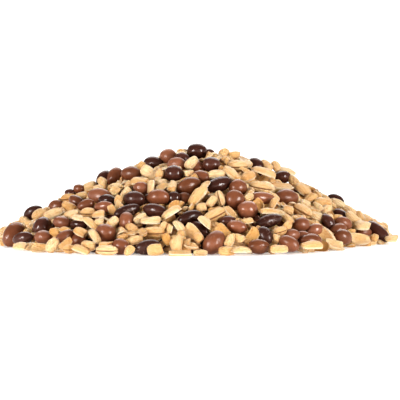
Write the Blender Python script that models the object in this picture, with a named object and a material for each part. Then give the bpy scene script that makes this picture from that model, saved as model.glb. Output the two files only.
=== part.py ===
"""A heap of trail mix: split roasted peanuts with milk and dark chocolate pieces.

Metres, +Z up. The heap's foot lies on Z = 0, its middle is at X = Y = 0 and its front faces -Y.
"""

from collections import namedtuple

import bmesh
import bpy
import numpy as np
from mathutils import Vector
from mathutils.bvhtree import BVHTree

# Form of the heap
HEAP_HEIGHT = 0.068
HEAP_RADIUS = 0.145
FLANK_SLOPE = 0.527
SUMMIT_ROUNDING = 0.037
FRONT_LEFT_BULGE = 0.014
FRONT_RIGHT_BULGE = 0.009
RIGHT_HOLLOW = 0.019
OUTLINE_WAVES = 0.0020

# Place from which the heap is seen, and its scale in pixels for a slope of one
EYE_DISTANCE = 1.300
EYE_HEIGHT = 0.072
AIM_HEIGHT = 0.031
FOCAL_PIXELS = 1781.0
MIDDLE_PIXEL = 200.0

# Build of the heap
CELL = 0.00125
PATCH_CELLS = 9
SHELL_DEPTH = 0.022
TOP_LAYER = 0.009
RIM_REACH = 1.05
CONTACT = 0.0009
FRONT_LIMIT = 0.012
CHOCOLATE_SHARE = 0.38
MILK_SHARE = 0.56
TRIES = 20
NEIGHBOUR_REACH = 0.026
SEEN_OVERLAP = 0.0013
VIEW_PIXELS = 400
CLEAR_SHARE = 0.92
HIDING_SHARE = 0.12
SPLIT_ROLL = (0.2, 1.1)
ROUND_ROLL = 0.28
SEED = 5

# Few-sided model
FUSED_PIECES = 238
FRONT_SPACING = 0.0100
FUSED_SPACING = 0.0140
CORE_SIDES = 36
CORE_RINGS = 9
CORE_DEPTH = 0.0015
CORE_RIM = 0.0045
CORE_INSET = 0.0055
RING_CROWDING = 0.8
SEATED_SHARE = 0.35
ROUND_SIDES = 6
FILL_OUT = 1.07
FLOOR_GAP = 0.0003

# Half the length of a piece, its width as a share of the length, and its thickness as a share of the width
Sizes = namedtuple("Sizes", "half_length width thickness")
SIZES = {
    "half": Sizes((0.0058, 0.0086), (0.45, 0.59), (0.85, 1.05)),
    "whole": Sizes((0.0056, 0.0076), (0.52, 0.64), (0.90, 1.00)),
    "bit": Sizes((0.0034, 0.0052), (0.65, 0.90), (0.55, 0.80)),
    "milk": Sizes((0.0062, 0.0088), (0.62, 0.98), (0.92, 1.00)),
    "dark": Sizes((0.0062, 0.0092), (0.56, 0.95), (0.90, 1.00)),
}

# Colours and gloss of the materials
Finish = namedtuple("Finish", "colour roughness")
FINISHES = {
    "peanut": Finish((0.72, 0.46, 0.19, 1.0), 0.5),
    "milk_chocolate": Finish((0.20, 0.075, 0.04, 1.0), 0.3),
    "dark_chocolate": Finish((0.035, 0.016, 0.015, 1.0), 0.3),
}
MATERIAL_OF = {
    "half": "peanut",
    "whole": "peanut",
    "bit": "peanut",
    "milk": "milk_chocolate",
    "dark": "dark_chocolate",
}

# Pieces that stand out at the front: middle, length and width in pixels, tilt in degrees with the right
# end up, and how far a piece lies behind its neighbours in millimetres
Seen = namedtuple("Seen", "kind column row long wide tilt behind", defaults=(0,))
SEEN = [
    Seen("milk", 13.5, 234.5, 26, 19, 55), Seen("dark", 23, 238.5, 22, 13, 12),
    Seen("dark", 42, 227, 20, 19, 60), Seen("dark", 33, 212, 21, 12, 25, 2),
    Seen("milk", 56, 206.5, 16, 13, 17, 1), Seen("milk", 43, 237, 18, 14, 0, 4),
    Seen("milk", 62, 222.5, 18, 13, -10, 1), Seen("dark", 78.5, 225, 17, 12, 0, 2),
    Seen("milk", 65, 236, 20, 11, 25), Seen("milk", 78, 240, 16, 13, 0, 3),
    Seen("dark", 70, 193, 11, 9, 0, 3), Seen("milk", 79, 189, 11, 10, 0, 2),
    Seen("dark", 104, 178.5, 18, 14, 45, 3), Seen("milk", 114.5, 176.5, 19, 15, 60),
    Seen("milk", 131, 174, 20, 15, 0), Seen("milk", 100, 196, 25, 15, -8),
    Seen("dark", 107, 200, 18, 12, 0), Seen("milk", 76.5, 201.5, 16, 12, -30, 1),
    Seen("milk", 86, 205, 18, 11, 20), Seen("milk", 104, 207, 20, 12, 5),
    Seen("dark", 134.5, 199.5, 22, 18, 0), Seen("milk", 141, 188.5, 16, 14, 0),
    Seen("dark", 127, 211, 27, 12, 18), Seen("milk", 126.5, 221.5, 18, 16, 90),
    Seen("milk", 105.5, 233.5, 20, 20, 0), Seen("milk", 120.5, 246.5, 17, 16, -20),
    Seen("dark", 148, 247, 28, 15, 10), Seen("dark", 153.5, 163, 20, 14, -5),
    Seen("milk", 168, 156.5, 16, 16, 0), Seen("dark", 182, 159.5, 15, 14, 0, 2),
    Seen("dark", 197, 151.5, 20, 18, 0), Seen("milk", 177, 165, 19, 16, 0, 4),
    Seen("dark", 174, 174, 19, 18, 0), Seen("milk", 196.5, 167, 18, 13, 0, 1),
    Seen("milk", 201, 177, 18, 13, -10, 1), Seen("milk", 189, 186, 25, 17, 20),
    Seen("milk", 158.5, 197.5, 23, 17, 0), Seen("dark", 174, 198, 14, 13, 0, 2),
    Seen("milk", 184, 198, 15, 12, 0, 5), Seen("dark", 155, 210.5, 25, 14, -10),
    Seen("dark", 190, 217.5, 25, 14, 18), Seen("dark", 200, 229, 22, 13, -35, 2),
    Seen("milk", 214, 242.5, 25, 21, 50), Seen("dark", 211.5, 164.5, 18, 16, 0),
    Seen("dark", 255.5, 165, 17, 14, -30), Seen("dark", 219, 184.5, 26, 15, 17),
    Seen("milk", 238, 188, 17, 17, 0), Seen("milk", 234.5, 200, 20, 20, 0),
    Seen("milk", 262, 198, 26, 13, -5), Seen("dark", 209, 153.5, 11, 10, 0, 6),
    Seen("milk", 286.5, 197.5, 24, 16, -3), Seen("milk", 247.5, 210, 20, 20, 0),
    Seen("dark", 228, 221.5, 19, 13, 0, 4), Seen("milk", 237, 227, 21, 14, -10),
    Seen("dark", 269, 221, 28, 14, 15), Seen("dark", 265, 235.5, 19, 14, -60),
    Seen("milk", 258.5, 246.5, 22, 16, 0), Seen("dark", 283, 177, 16, 13, 0),
    Seen("dark", 336, 200, 19, 11, -25, 3), Seen("dark", 328, 222, 18, 13, -60),
    Seen("dark", 341.5, 215, 18, 11, -30, 3), Seen("milk", 301.5, 224.5, 16, 14, 0),
    Seen("milk", 315, 230.5, 18, 14, 10), Seen("milk", 343.5, 223.5, 18, 13, -20),
    Seen("milk", 338, 230, 18, 13, 15, 3), Seen("milk", 343, 237, 18, 15, -20),
    Seen("milk", 303.5, 236.5, 15, 11, -10, 1), Seen("milk", 292, 235, 16, 12, 0, 4),
    Seen("milk", 289, 243.5, 21, 16, -25), Seen("milk", 311, 240.5, 22, 13, 0, 3),
    Seen("dark", 378, 231.5, 27, 14, -42), Seen("milk", 364, 232.5, 16, 11, 0, 3),
    Seen("whole", 107, 252, 23, 11, 0), Seen("face", 180.5, 252.5, 25, 9, 0),
    Seen("face", 157.5, 249.5, 21, 12, 10), Seen("face", 39, 247, 18, 10, 0),
    Seen("half", 22, 247.5, 17, 8, 0), Seen("half", 52.5, 246, 16, 12, 60),
    Seen("half", 81, 251, 18, 8, -20), Seen("half", 89, 245.5, 15, 11, 0),
    Seen("whole", 69, 249, 12, 10, 0), Seen("half", 227, 251, 18, 10, 0),
    Seen("half", 241.5, 253, 20, 7, 0), Seen("half", 279, 250, 19, 9, 0),
    Seen("half", 311, 247, 22, 9, 0), Seen("face", 335.5, 243.5, 20, 10, -15),
    Seen("face", 361, 238.5, 21, 12, -5), Seen("half", 392, 239.5, 16, 8, 0),
    Seen("whole", 153, 232.5, 24, 13, 0), Seen("face", 192, 232.5, 20, 14, -35),
    Seen("half", 198, 197, 24, 12, 52), Seen("face", 174.5, 206, 14, 9, 25),
    Seen("half", 177, 243, 18, 13, 90), Seen("whole", 215, 215.5, 24, 14, 25),
    Seen("whole", 260.5, 187, 23, 12, -10), Seen("whole", 302.5, 211, 21, 14, -30),
    Seen("face", 325.5, 236.5, 18, 11, -50), Seen("half", 263.5, 174, 25, 8, -20),
    Seen("whole", 237, 166, 22, 13, 0), Seen("half", 363.5, 227.5, 21, 9, 0),
    Seen("half", 172.5, 214.5, 24, 8, 32), Seen("half", 151, 222, 21, 8, 0),
    Seen("half", 285, 173, 20, 9, 0, 2), Seen("half", 303, 191, 18, 9, -40),
    Seen("face", 252, 235.5, 20, 12, 55), Seen("half", 317, 217, 17, 11, -20),
    Seen("half", 322, 203.5, 18, 10, 0), Seen("half", 337.5, 204.5, 18, 9, -30),
    Seen("half", 90, 224.5, 18, 8, -40), Seen("whole", 88, 213, 15, 12, 0),
    Seen("half", 81.5, 233.5, 17, 9, -25), Seen("half", 91, 187.5, 18, 9, 20),
    Seen("half", 139.5, 182.5, 18, 8, 0), Seen("half", 149.5, 173, 18, 12, -35),
    Seen("half", 179, 228, 16, 8, -50), Seen("face", 222.5, 231, 17, 12, -45),
    Seen("half", 231.5, 175.5, 20, 9, -40), Seen("half", 352.5, 219, 18, 9, -50),
    Seen("half", 163.5, 227.5, 11, 8, 60), Seen("half", 170.5, 228.5, 12, 6, 80),
    Seen("half", 167.5, 239.5, 13, 10, -60), Seen("half", 199, 238, 11, 10, -60),
    Seen("face", 192, 244.5, 16, 7, -10), Seen("face", 200.5, 252.5, 15, 7, 0),
    Seen("half", 202, 207.5, 12, 9, 0), Seen("half", 211.5, 202, 13, 9, 50),
    Seen("whole", 220, 198.5, 16, 10, -75), Seen("face", 232, 213, 20, 9, -50),
    Seen("half", 205.5, 224, 18, 8, -42), Seen("half", 246.5, 222, 13, 6, 10),
    Seen("half", 230, 240, 15, 9, 65), Seen("half", 239, 239, 14, 9, -20),
    Seen("whole", 279, 231.5, 16, 10, 15), Seen("half", 288, 220, 12, 9, -50),
    Seen("half", 287, 228, 13, 9, 60), Seen("face", 277, 211, 20, 8, -12), Seen("half", 268, 213, 17, 6, 0),
    Seen("face", 259.5, 205, 15, 10, -50), Seen("half", 288.5, 210, 13, 9, -20),
    Seen("half", 273.5, 203.5, 12, 7, 60), Seen("half", 248.5, 197.5, 11, 9, 30),
    Seen("half", 224, 153.5, 11, 9, 50), Seen("half", 234.5, 155, 13, 8, 0),
    Seen("half", 226, 161, 10, 8, -40), Seen("half", 216.5, 175.5, 18, 9, 3),
    Seen("half", 247, 177.5, 17, 9, 20), Seen("face", 282.5, 185.5, 23, 10, -5),
    Seen("half", 267, 165.5, 14, 9, -40), Seen("half", 276, 166.5, 11, 8, -60),
    Seen("half", 294, 181, 14, 9, -45), Seen("half", 310.5, 197.5, 15, 9, 35),
    Seen("half", 318, 207, 12, 8, -40), Seen("half", 326, 210, 11, 8, 30),
    Seen("half", 317, 195, 10, 7, -50), Seen("half", 305, 203, 12, 7, -20),
    Seen("half", 337.5, 217.5, 10, 6, 0), Seen("half", 350, 211.5, 14, 8, -35),
    Seen("half", 360.5, 217, 13, 8, -60), Seen("half", 374.5, 237.5, 9, 8, 60),
    Seen("half", 25, 221, 12, 9, -30), Seen("half", 29.5, 224.5, 10, 7, -20),
    Seen("face", 66, 243, 16, 9, 42), Seen("half", 40.5, 214.5, 19, 10, 25),
    Seen("half", 54, 214.5, 20, 9, 22), Seen("half", 69, 207.5, 16, 11, -35),
    Seen("whole", 69, 198, 16, 10, 8), Seen("half", 82, 195.5, 13, 8, 20),
    Seen("half", 73, 214.5, 14, 7, 15), Seen("half", 79, 219.5, 15, 6, -12),
    Seen("half", 56, 232, 13, 10, -10), Seen("half", 65, 230.5, 12, 6, -10),
    Seen("half", 94.5, 237.5, 16, 8, -55), Seen("half", 103.5, 183.5, 14, 9, -45),
    Seen("half", 100, 188.5, 13, 7, 10), Seen("face", 116, 190.5, 13, 9, -12),
    Seen("face", 118.5, 200.5, 12, 8, 75), Seen("half", 125.5, 193.5, 13, 8, 60),
    Seen("face", 112, 210.5, 13, 8, -65), Seen("half", 100, 215.5, 16, 7, 5),
    Seen("half", 100.5, 222, 14, 8, 10), Seen("half", 112, 223, 14, 9, 40),
    Seen("half", 140, 218.5, 14, 9, 30), Seen("half", 128, 185, 9, 7, 70),
    Seen("half", 151.5, 187.5, 14, 7, 85), Seen("half", 140.5, 167, 11, 8, 60),
    Seen("half", 159, 173.5, 11, 8, 65), Seen("face", 163, 186, 15, 8, 35), Seen("half", 172, 189, 9, 6, 0),
    Seen("half", 191, 163, 16, 10, 45), Seen("half", 189, 173, 10, 7, 10),
    Seen("face", 130.5, 233, 17, 6, 5), Seen("half", 135.5, 240, 15, 9, 15),
    Seen("half", 122.5, 237.5, 11, 7, 20), Seen("half", 129.5, 250.5, 13, 9, 45),
    Seen("half", 106, 245.5, 14, 6, -5), Seen("half", 169.5, 219.5, 15, 9, 25, 2),
    Seen("half", 182.5, 235.5, 12, 8, -35, 3), Seen("half", 276.5, 238, 10, 7, -30, 3),
]

# A piece of the mix: its middle, half its length, width and thickness, and its own axes as columns.
# A half peanut's flat face looks against its third axis.
Piece = namedtuple("Piece", "kind place sizes turn")


def unit(vectors):
    """Vectors along the last axis, made one long."""
    return vectors / np.linalg.norm(vectors, axis=-1, keepdims=True)


def outline(angle):
    """Distance of the heap's foot from its middle: a circle with two bulges, a hollow and small waves."""
    turn = np.degrees(angle)

    def bump(middle, width):
        return np.exp(-(((turn - middle + 180) % 360 - 180) / width) ** 2)

    bulges = FRONT_LEFT_BULGE * bump(-122, 30) + FRONT_RIGHT_BULGE * bump(-64, 16)
    return HEAP_RADIUS + bulges - RIGHT_HOLLOW * bump(-29, 27) + OUTLINE_WAVES * np.cos(5 * angle + 1)


def surface(x, y):
    """Height of the heap's tops: a cone with a rounded summit, ending just past the outline."""
    share = np.hypot(x, y) / outline(np.arctan2(y, x))
    fall = FLANK_SLOPE * (np.hypot(share * HEAP_RADIUS, SUMMIT_ROUNDING) - SUMMIT_ROUNDING)
    return np.where(share < RIM_REACH, HEAP_HEIGHT - fall, 0.0)


def upright(x, y, step=0.002):
    """Direction square to the heap's surface, one row for each place."""
    across = surface(x - step, y) - surface(x + step, y)
    along = surface(x, y - step) - surface(x, y + step)
    return unit(np.stack([across, along, 2 * step + 0 * across], -1))


def is_split(kind):
    """Whether a piece has a flat face through its middle."""
    return kind == "half"


# Rule by which a piece comes to rest

def spans(right, forward, sizes, turn, split):
    """Lowest and highest point of each piece above each place round its middle, and where it has any.

    Along an upright line an ellipsoid starts and ends at the two roots of a quadratic. The flat face
    of a half peanut cuts that stretch short.
    """
    form = np.einsum("kij,kj,klj->kil", turn, 1 / sizes**2, turn)[:, :, :, None, None]
    square = form[:, 2, 2]
    cross = form[:, 0, 2] * right + form[:, 1, 2] * forward
    rest = form[:, 0, 0] * right**2 + 2 * form[:, 0, 1] * right * forward + form[:, 1, 1] * forward**2 - 1
    room = cross**2 - square * rest
    root = np.sqrt(np.maximum(room, 0))
    low = (-cross - root) / square
    high = (-cross + root) / square
    within = room > 0
    if split:
        facing = turn[:, :, 2][:, :, None, None]
        steep = np.where(np.abs(facing[:, 2]) < 1e-3, 1e-3, facing[:, 2])
        flat = -(facing[:, 0] * right + facing[:, 1] * forward) / steep
        low = np.where(steep > 0, np.maximum(low, flat), low)
        high = np.where(steep > 0, high, np.minimum(high, flat))
        within = within & (low < high)
    return low, high, within


class Ground:
    """Height of what has been laid so far, on a square grid, and which piece is topmost there."""

    def __init__(self):
        self.half = int(np.ceil((HEAP_RADIUS + FRONT_LEFT_BULGE) / CELL)) + PATCH_CELLS + 2
        self.axis = np.arange(-self.half, self.half + 1) * CELL
        self.top = surface(*np.meshgrid(self.axis, self.axis))
        self.height = np.maximum(0, self.top - SHELL_DEPTH)
        self.owner = np.full(self.height.shape, -1)
        self.pieces = []
        self.front = []

    def patch(self, x, y):
        """Rows and columns of the cells round each place, and how far they lie from it."""
        around = np.arange(-PATCH_CELLS, PATCH_CELLS + 1)
        limit = 2 * self.half - PATCH_CELLS
        row = np.clip(np.rint(y / CELL).astype(int) + self.half, PATCH_CELLS, limit)
        column = np.clip(np.rint(x / CELL).astype(int) + self.half, PATCH_CELLS, limit)
        row, column = np.broadcast_arrays(
            row[:, None, None] + around[:, None], column[:, None, None] + around[None, :])
        return row, column, self.axis[column] - x[:, None, None], self.axis[row] - y[:, None, None]

    def cells(self, piece):
        """Cells that a piece covers, with its lowest and highest points there."""
        x, y, z = piece.place
        row, column, right, forward = self.patch(np.array([x]), np.array([y]))
        low, high, within = spans(
            right, forward, piece.sizes[None], piece.turn[None], is_split(piece.kind))
        return row[within], column[within], z + low[within], z + high[within]

    def lay(self, piece):
        """Add a piece, which raises the ground that it covers."""
        row, column, _, high = self.cells(piece)
        higher = high > self.height[row, column]
        self.height[row[higher], column[higher]] = high[higher]
        self.owner[row[higher], column[higher]] = len(self.pieces)
        self.pieces.append(piece)


# Pieces at the front

def sight_line(column, row):
    """The eye, and the direction in which it sees a pixel, with one unit of depth."""
    drop = np.arctan2(EYE_HEIGHT - AIM_HEIGHT, EYE_DISTANCE)
    right = (column - MIDDLE_PIXEL) / FOCAL_PIXELS
    up = (MIDDLE_PIXEL - row) / FOCAL_PIXELS
    way = np.array([right, np.cos(drop) + up * np.sin(drop), up * np.cos(drop) - np.sin(drop)])
    return np.array([0.0, -EYE_DISTANCE, EYE_HEIGHT]), way


def pixels(points):
    """Column, row and depth at which the eye sees each point."""
    drop = np.arctan2(EYE_HEIGHT - AIM_HEIGHT, EYE_DISTANCE)
    forward = points[..., 1] + EYE_DISTANCE
    up = points[..., 2] - EYE_HEIGHT
    depth = forward * np.cos(drop) - up * np.sin(drop)
    rise = forward * np.sin(drop) + up * np.cos(drop)
    column = MIDDLE_PIXEL + FOCAL_PIXELS * points[..., 0] / depth
    return column, MIDDLE_PIXEL - FOCAL_PIXELS * rise / depth, depth


def seen_piece(seen):
    """A piece turned as it is seen, its middle just under the heap's surface, and its sight line."""
    eye, way = sight_line(seen.column, seen.row)
    depth = np.linspace(EYE_DISTANCE - 0.190, EYE_DISTANCE + 0.060, 1000)
    points = eye + way * depth[:, None]
    scale = EYE_DISTANCE / FOCAL_PIXELS
    buried = surface(points[:, 0], points[:, 1]) - 0.3 * seen.wide * scale - points[:, 2]
    first = np.argmax(buried > 0) if buried.max() > 0 else np.argmax(buried)
    depth = depth[first]
    scale = depth / FOCAL_PIXELS
    outward = upright(*points[first, :2])

    tilt = np.radians(seen.tilt)
    lean = -(outward[0] * np.cos(tilt) + outward[2] * np.sin(tilt)) / min(outward[1], -0.2)
    along = unit(np.array([np.cos(tilt), np.clip(lean, -0.45, 0.45), np.sin(tilt)]))
    facing = unit(-way - (-way @ along) * along)
    upward = np.cross(along, facing)
    upward = upward if upward @ outward > 0 else -upward
    half_length = seen.long * scale / 2 / np.hypot(along[0], along[2])
    half_width = seen.wide * scale / 2
    third = unit(0.25 * facing + 0.97 * upward) if seen.kind == "whole" else facing
    if seen.kind in ("half", "face"):
        half_width = max(0.56 * half_length, seen.wide * scale / 2)
        bare = np.clip(seen.wide * scale / half_width - 1, 0, 1)
        third = bare * facing + np.sqrt(1 - bare**2) * upward
    sizes = np.array([half_length, half_width, half_width * 0.96])
    third = -third if seen.kind == "face" else third
    turn = np.stack([along, np.cross(third, along), third], 1)
    kind = "half" if seen.kind == "face" else seen.kind
    return Piece(kind, eye + way * depth, sizes, turn), way


def overlap(piece, others, dots):
    """How deep a piece's surface lies inside its neighbours."""
    deepest = 0.0
    for other in others:
        if np.linalg.norm(other.place - piece.place) > NEIGHBOUR_REACH:
            continue
        own = piece.place + (dots * piece.sizes) @ piece.turn.T
        inside = 1 - np.linalg.norm((own - other.place) @ other.turn / other.sizes, axis=1)
        deepest = max(deepest, inside.max() * other.sizes.min())
    return deepest


def front_pieces():
    """The pieces that stand out, each moved back along its sight line until it clears its neighbours."""
    dots = unit(np.random.default_rng(SEED).normal(size=(90, 3)))
    laid = []
    for seen in sorted(SEEN, key=lambda seen: (seen.behind > 0, -seen.row)):
        piece, way = seen_piece(seen)
        start = piece.place
        for back in np.arange(seen.behind, 30, 1.0) / 1000:
            place = start + way * back
            reach = np.sqrt(((piece.turn[2] * piece.sizes) ** 2).sum())
            place[2] = max(place[2], reach * (0.6 if is_split(piece.kind) else 1.0))
            piece = piece._replace(place=place)
            if overlap(piece, laid, dots) < SEEN_OVERLAP:
                break
        laid.append(piece)
    return laid


class FrontView:
    """Depth of the front pieces at each pixel, which the others must not hide."""

    def __init__(self, pieces):
        self.depth = np.full((VIEW_PIXELS, VIEW_PIXELS), -1.0)
        self.dots = unit(np.random.default_rng(SEED).normal(size=(26, 3)))
        rows, columns = np.mgrid[0:VIEW_PIXELS, 0:VIEW_PIXELS]
        for piece in pieces:
            column, row, depth = pixels(piece.place)
            reach = CLEAR_SHARE * np.sqrt(piece.sizes[0] * piece.sizes[1]) * FOCAL_PIXELS / depth
            hidden = np.hypot(columns - column, rows - row) < reach
            self.depth[hidden] = np.maximum(self.depth[hidden], depth)

    def hides(self, places, sizes, turns):
        """Share of each piece that would stand in front of a front piece."""
        points = places[:, None] + np.einsum("kij,nj->kni", turns, self.dots * sizes)
        column, row, depth = pixels(points)
        column = np.clip(column.astype(int), 0, VIEW_PIXELS - 1)
        row = np.clip(row.astype(int), 0, VIEW_PIXELS - 1)
        return (self.depth[row, column] > depth + 0.001).mean(axis=1)


# Pieces laid by rule

def draw_piece(rng, chocolate):
    """Kind and half sizes of a piece of the mix."""
    if rng.random() < chocolate:
        kind = "milk" if rng.random() < MILK_SHARE else "dark"
    else:
        kind = rng.choice(["half", "whole", "bit"], p=[0.80, 0.08, 0.12])
    return str(kind), draw_sizes(rng, kind)


def draw_sizes(rng, kind):
    """Half the length, width and thickness of a piece, uneven from piece to piece."""
    half_length, width, thickness = (rng.uniform(*limits) for limits in SIZES[kind])
    return half_length * np.array([1.0, width, width * thickness])


def draw_turns(rng, outward, split):
    """Ways to lie: length along the slope in any direction, rolled over, either way up if split."""
    count = len(outward)
    angle = rng.uniform(0, 2 * np.pi, count)
    roll = rng.uniform(*SPLIT_ROLL) if split else ROUND_ROLL
    third = unit(outward + rng.normal(size=(count, 3)) * roll)
    if split:
        third *= rng.choice([-1, 1], count)[:, None]
    along = np.stack([np.cos(angle), np.sin(angle), rng.normal(size=count) * 0.2], 1)
    along = unit(along - (along * third).sum(1, keepdims=True) * third)
    return np.stack([along, np.cross(third, along), third], 2)


def settle(ground, rng, wanted, ceiling, view, spacing, lack, proud, kinds=None):
    """Lay a piece at each place that lies too low, the way that leaves the least room beneath it."""
    line = np.arange(-HEAP_RADIUS - FRONT_LEFT_BULGE, HEAP_RADIUS + FRONT_LEFT_BULGE, spacing)
    places = np.stack(np.meshgrid(line, line), -1).reshape(-1, 2)
    places = places + rng.uniform(-0.5, 0.5, places.shape) * spacing
    for x, y in rng.permutation(places):
        column = int(round(x / CELL)) + ground.half
        row = int(round(y / CELL)) + ground.half
        near = (slice(row - 1, row + 2), slice(column - 1, column + 2))
        if (wanted[near] - ground.height[near]).mean() < lack:
            continue
        kind, sizes = draw_piece(rng, 0.0 if view and y < FRONT_LIMIT else CHOCOLATE_SHARE)
        if kinds:
            kind = str(rng.choice(kinds))
            sizes = draw_sizes(rng, kind)
        spots = np.array([x, y]) + rng.uniform(-0.004, 0.004, (TRIES, 2))
        turns = draw_turns(rng, upright(*spots.T), is_split(kind))
        rows, columns, right, forward = ground.patch(*spots.T)
        low, high, within = spans(right, forward, np.tile(sizes, (TRIES, 1)), turns, is_split(kind))
        under = ground.height[rows, columns]
        rest = np.where(within, under - low, -1).max(axis=(1, 2)) - CONTACT
        level = rest[:, None, None]
        over = np.where(within, level + high - wanted[rows, columns], -1).max(axis=(1, 2))
        roof = np.where(within, level + high - ceiling[rows, columns], -1).max(axis=(1, 2))
        empty = np.where(within, level + low - under, 0).sum(axis=(1, 2)) / within.sum(axis=(1, 2))
        inside = np.hypot(*spots.T) < outline(np.arctan2(spots[:, 1], spots[:, 0])) - sizes[0] / 2
        fits = (over < proud) & (roof < CONTACT) & inside
        middles = np.column_stack([spots, rest])
        if view:
            fits &= view.hides(middles, sizes, turns) < HIDING_SHARE
        if fits.any():
            score = empty + 0.35 * np.abs(over - rng.uniform(-0.0015, 0.001)) + np.where(fits, 0, 1)
            best = np.argmin(score)
            ground.lay(Piece(kind, middles[best], sizes, turns[best]))


def arrange():
    """All pieces of the heap's outer layers.

    Those beneath come first, then the front ones, the rest of the top layer, and what fills its gaps.
    """
    rng = np.random.default_rng(SEED)
    ground = Ground()
    front = front_pieces()
    ceiling = np.full(ground.height.shape, 1.0)
    for piece in front:
        row, column, low, _ = ground.cells(piece)
        np.minimum.at(ceiling, (row, column), low)
    beneath = np.where(ground.top > 0, ground.top - TOP_LAYER, 0)
    for spacing in (0.008, 0.007):
        settle(ground, rng, beneath, ceiling, None, spacing, 0.005, 0.001)
    ground.front = front
    for piece in front:
        ground.lay(piece)
    view = FrontView(front)
    clear = np.full(ground.height.shape, 1.0)
    for spacing in (0.008, 0.007, 0.006):
        settle(ground, rng, ground.top, clear, view, spacing, 0.005, 0.0022)
    for spacing in (0.0055, 0.005):
        settle(ground, rng, ground.top, clear, view, spacing, 0.008, -0.002)
    settle(ground, rng, ground.top, clear, view, 0.005, 0.0085, 0.001, ["bit"])
    return ground


# Few-sided solids

def few_sided(piece):
    """Corners and faces of a piece: rings of a few corners round its length, and a point at each end."""
    sides = ROUND_SIDES
    angles = (np.arange(sides) + 0.5) * 2 * np.pi / sides
    ring = np.stack([0 * angles, np.cos(angles), np.sin(angles)], 1)
    stations = np.array([-0.52, 0.52])
    rings = [ring * np.sqrt(1 - s**2) + [s, 0, 0] for s in stations]
    corners = np.concatenate([[[-1.0, 0, 0]], *rings, [[1.0, 0, 0]]]) * [1.0, FILL_OUT, FILL_OUT]
    if is_split(piece.kind):
        corners[:, 2] = np.maximum(corners[:, 2], -0.04)
    last = len(corners) - 1
    faces = []
    for i in range(sides):
        j = (i + 1) % sides
        faces.append((0, 1 + j, 1 + i))
        faces.append((1 + i, 1 + j, 1 + sides + j, 1 + sides + i))
        faces.append((last, 1 + sides + i, 1 + sides + j))
    return piece.place + (corners * piece.sizes) @ piece.turn.T, faces


def mesh_object(name, corners, faces, material):
    """A closed object with triangular faces turned outwards."""
    mesh = bpy.data.meshes.new(name)
    mesh.from_pydata(corners.tolist(), [], faces)
    solid = bmesh.new()
    solid.from_mesh(mesh)
    bmesh.ops.triangulate(solid, faces=solid.faces)
    bmesh.ops.recalc_face_normals(solid, faces=solid.faces)
    solid.to_mesh(mesh)
    solid.free()
    for slot in MATERIALS.values():
        mesh.materials.append(slot)
    index = list(MATERIALS).index(material)
    mesh.polygons.foreach_set("material_index", [index] * len(mesh.polygons))
    return bpy.data.objects.new(name, mesh)


def core_level(ground, x, y):
    """Height of the heap's inner body: the mean height of what is laid near a place, a little deeper."""
    offsets = np.arange(-3, 4)
    column = np.rint(np.asarray(x) / CELL).astype(int) + ground.half
    row = np.rint(np.asarray(y) / CELL).astype(int) + ground.half
    near = ground.height[row[..., None, None] + offsets[:, None], column[..., None, None] + offsets]
    return np.maximum(near.mean(axis=(-1, -2)) - CORE_DEPTH, CORE_RIM)


def core(ground):
    """Corners and faces of the heap's inner body: rings round its middle and a flat foot."""
    angles = np.arange(CORE_SIDES) * 2 * np.pi / CORE_SIDES
    shares = np.linspace(0, 1, CORE_RINGS + 1)[1:] ** RING_CROWDING
    reach = outline(angles) - CORE_INSET
    x = np.outer(shares, reach * np.cos(angles))
    y = np.outer(shares, reach * np.sin(angles))
    level = core_level(ground, x, y)
    level[-1] = CORE_RIM
    rings = np.stack([x, y, level], -1).reshape(-1, 3)
    foot = np.stack([x[-1], y[-1], 0 * x[-1]], -1)
    corners = np.concatenate([[[0.0, 0.0, core_level(ground, 0.0, 0.0)]], rings, foot])
    faces = []
    for i in range(CORE_SIDES):
        j = (i + 1) % CORE_SIDES
        faces.append((0, 1 + i, 1 + j))
        for ring in range(CORE_RINGS):
            inner, outer = 1 + ring * CORE_SIDES, 1 + (ring + 1) * CORE_SIDES
            faces.append((inner + i, outer + i, outer + j, inner + j))
    last = 1 + CORE_RINGS * CORE_SIDES
    faces.append([last + i for i in reversed(range(CORE_SIDES))])
    return corners, faces


def seated(piece, core_top):
    """A few-sided piece, let down where less than a share of its height would be in the core."""
    corners, faces = few_sided(piece)
    hit = core_top.ray_cast(Vector((piece.place[0], piece.place[1], 2 * HEAP_HEIGHT)), Vector((0, 0, -1)))[0]
    level = hit.z if hit else CORE_RIM
    deepest = level - SEATED_SHARE * np.ptp(corners[:, 2])
    corners[:, 2] -= max(0.0, corners[:, 2].min() - deepest)
    corners[:, 2] = np.maximum(corners[:, 2], FLOOR_GAP)
    return corners, faces


def most_exposed(ground):
    """Pieces spread over the heap: the front ones, then those that show most, each apart from the last."""
    shown = np.bincount(ground.owner[ground.owner >= 0], minlength=len(ground.pieces)) * CELL**2
    places = np.array([piece.place for piece in ground.pieces])
    front = {id(piece) for piece in ground.front}
    in_front = np.array([id(piece) in front for piece in ground.pieces])
    chosen = []
    for index in np.argsort(-shown - in_front, kind="stable"):
        gap = np.linalg.norm(places[chosen] - places[index], axis=1).min(initial=1.0)
        if len(chosen) < FUSED_PIECES and gap > (FRONT_SPACING if in_front[index] else FUSED_SPACING):
            chosen.append(index)
    return [ground.pieces[index] for index in chosen]


def keep_outer_shell(mesh):
    """Drop loose scraps and sealed hollows: only the largest connected shell stays."""
    solid = bmesh.new()
    solid.from_mesh(mesh)
    left = set(solid.verts)
    shells = []
    while left:
        shell = {left.pop()}
        edge = list(shell)
        while edge:
            vertex = edge.pop()
            for link in vertex.link_edges:
                other = link.other_vert(vertex)
                if other in left:
                    left.remove(other)
                    shell.add(other)
                    edge.append(other)
        shells.append(shell)
    shells.sort(key=len)
    for shell in shells[:-1]:
        bmesh.ops.delete(solid, geom=list(shell), context="VERTS")
    bmesh.ops.triangulate(solid, faces=solid.faces)
    solid.to_mesh(mesh)
    solid.free()


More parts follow.
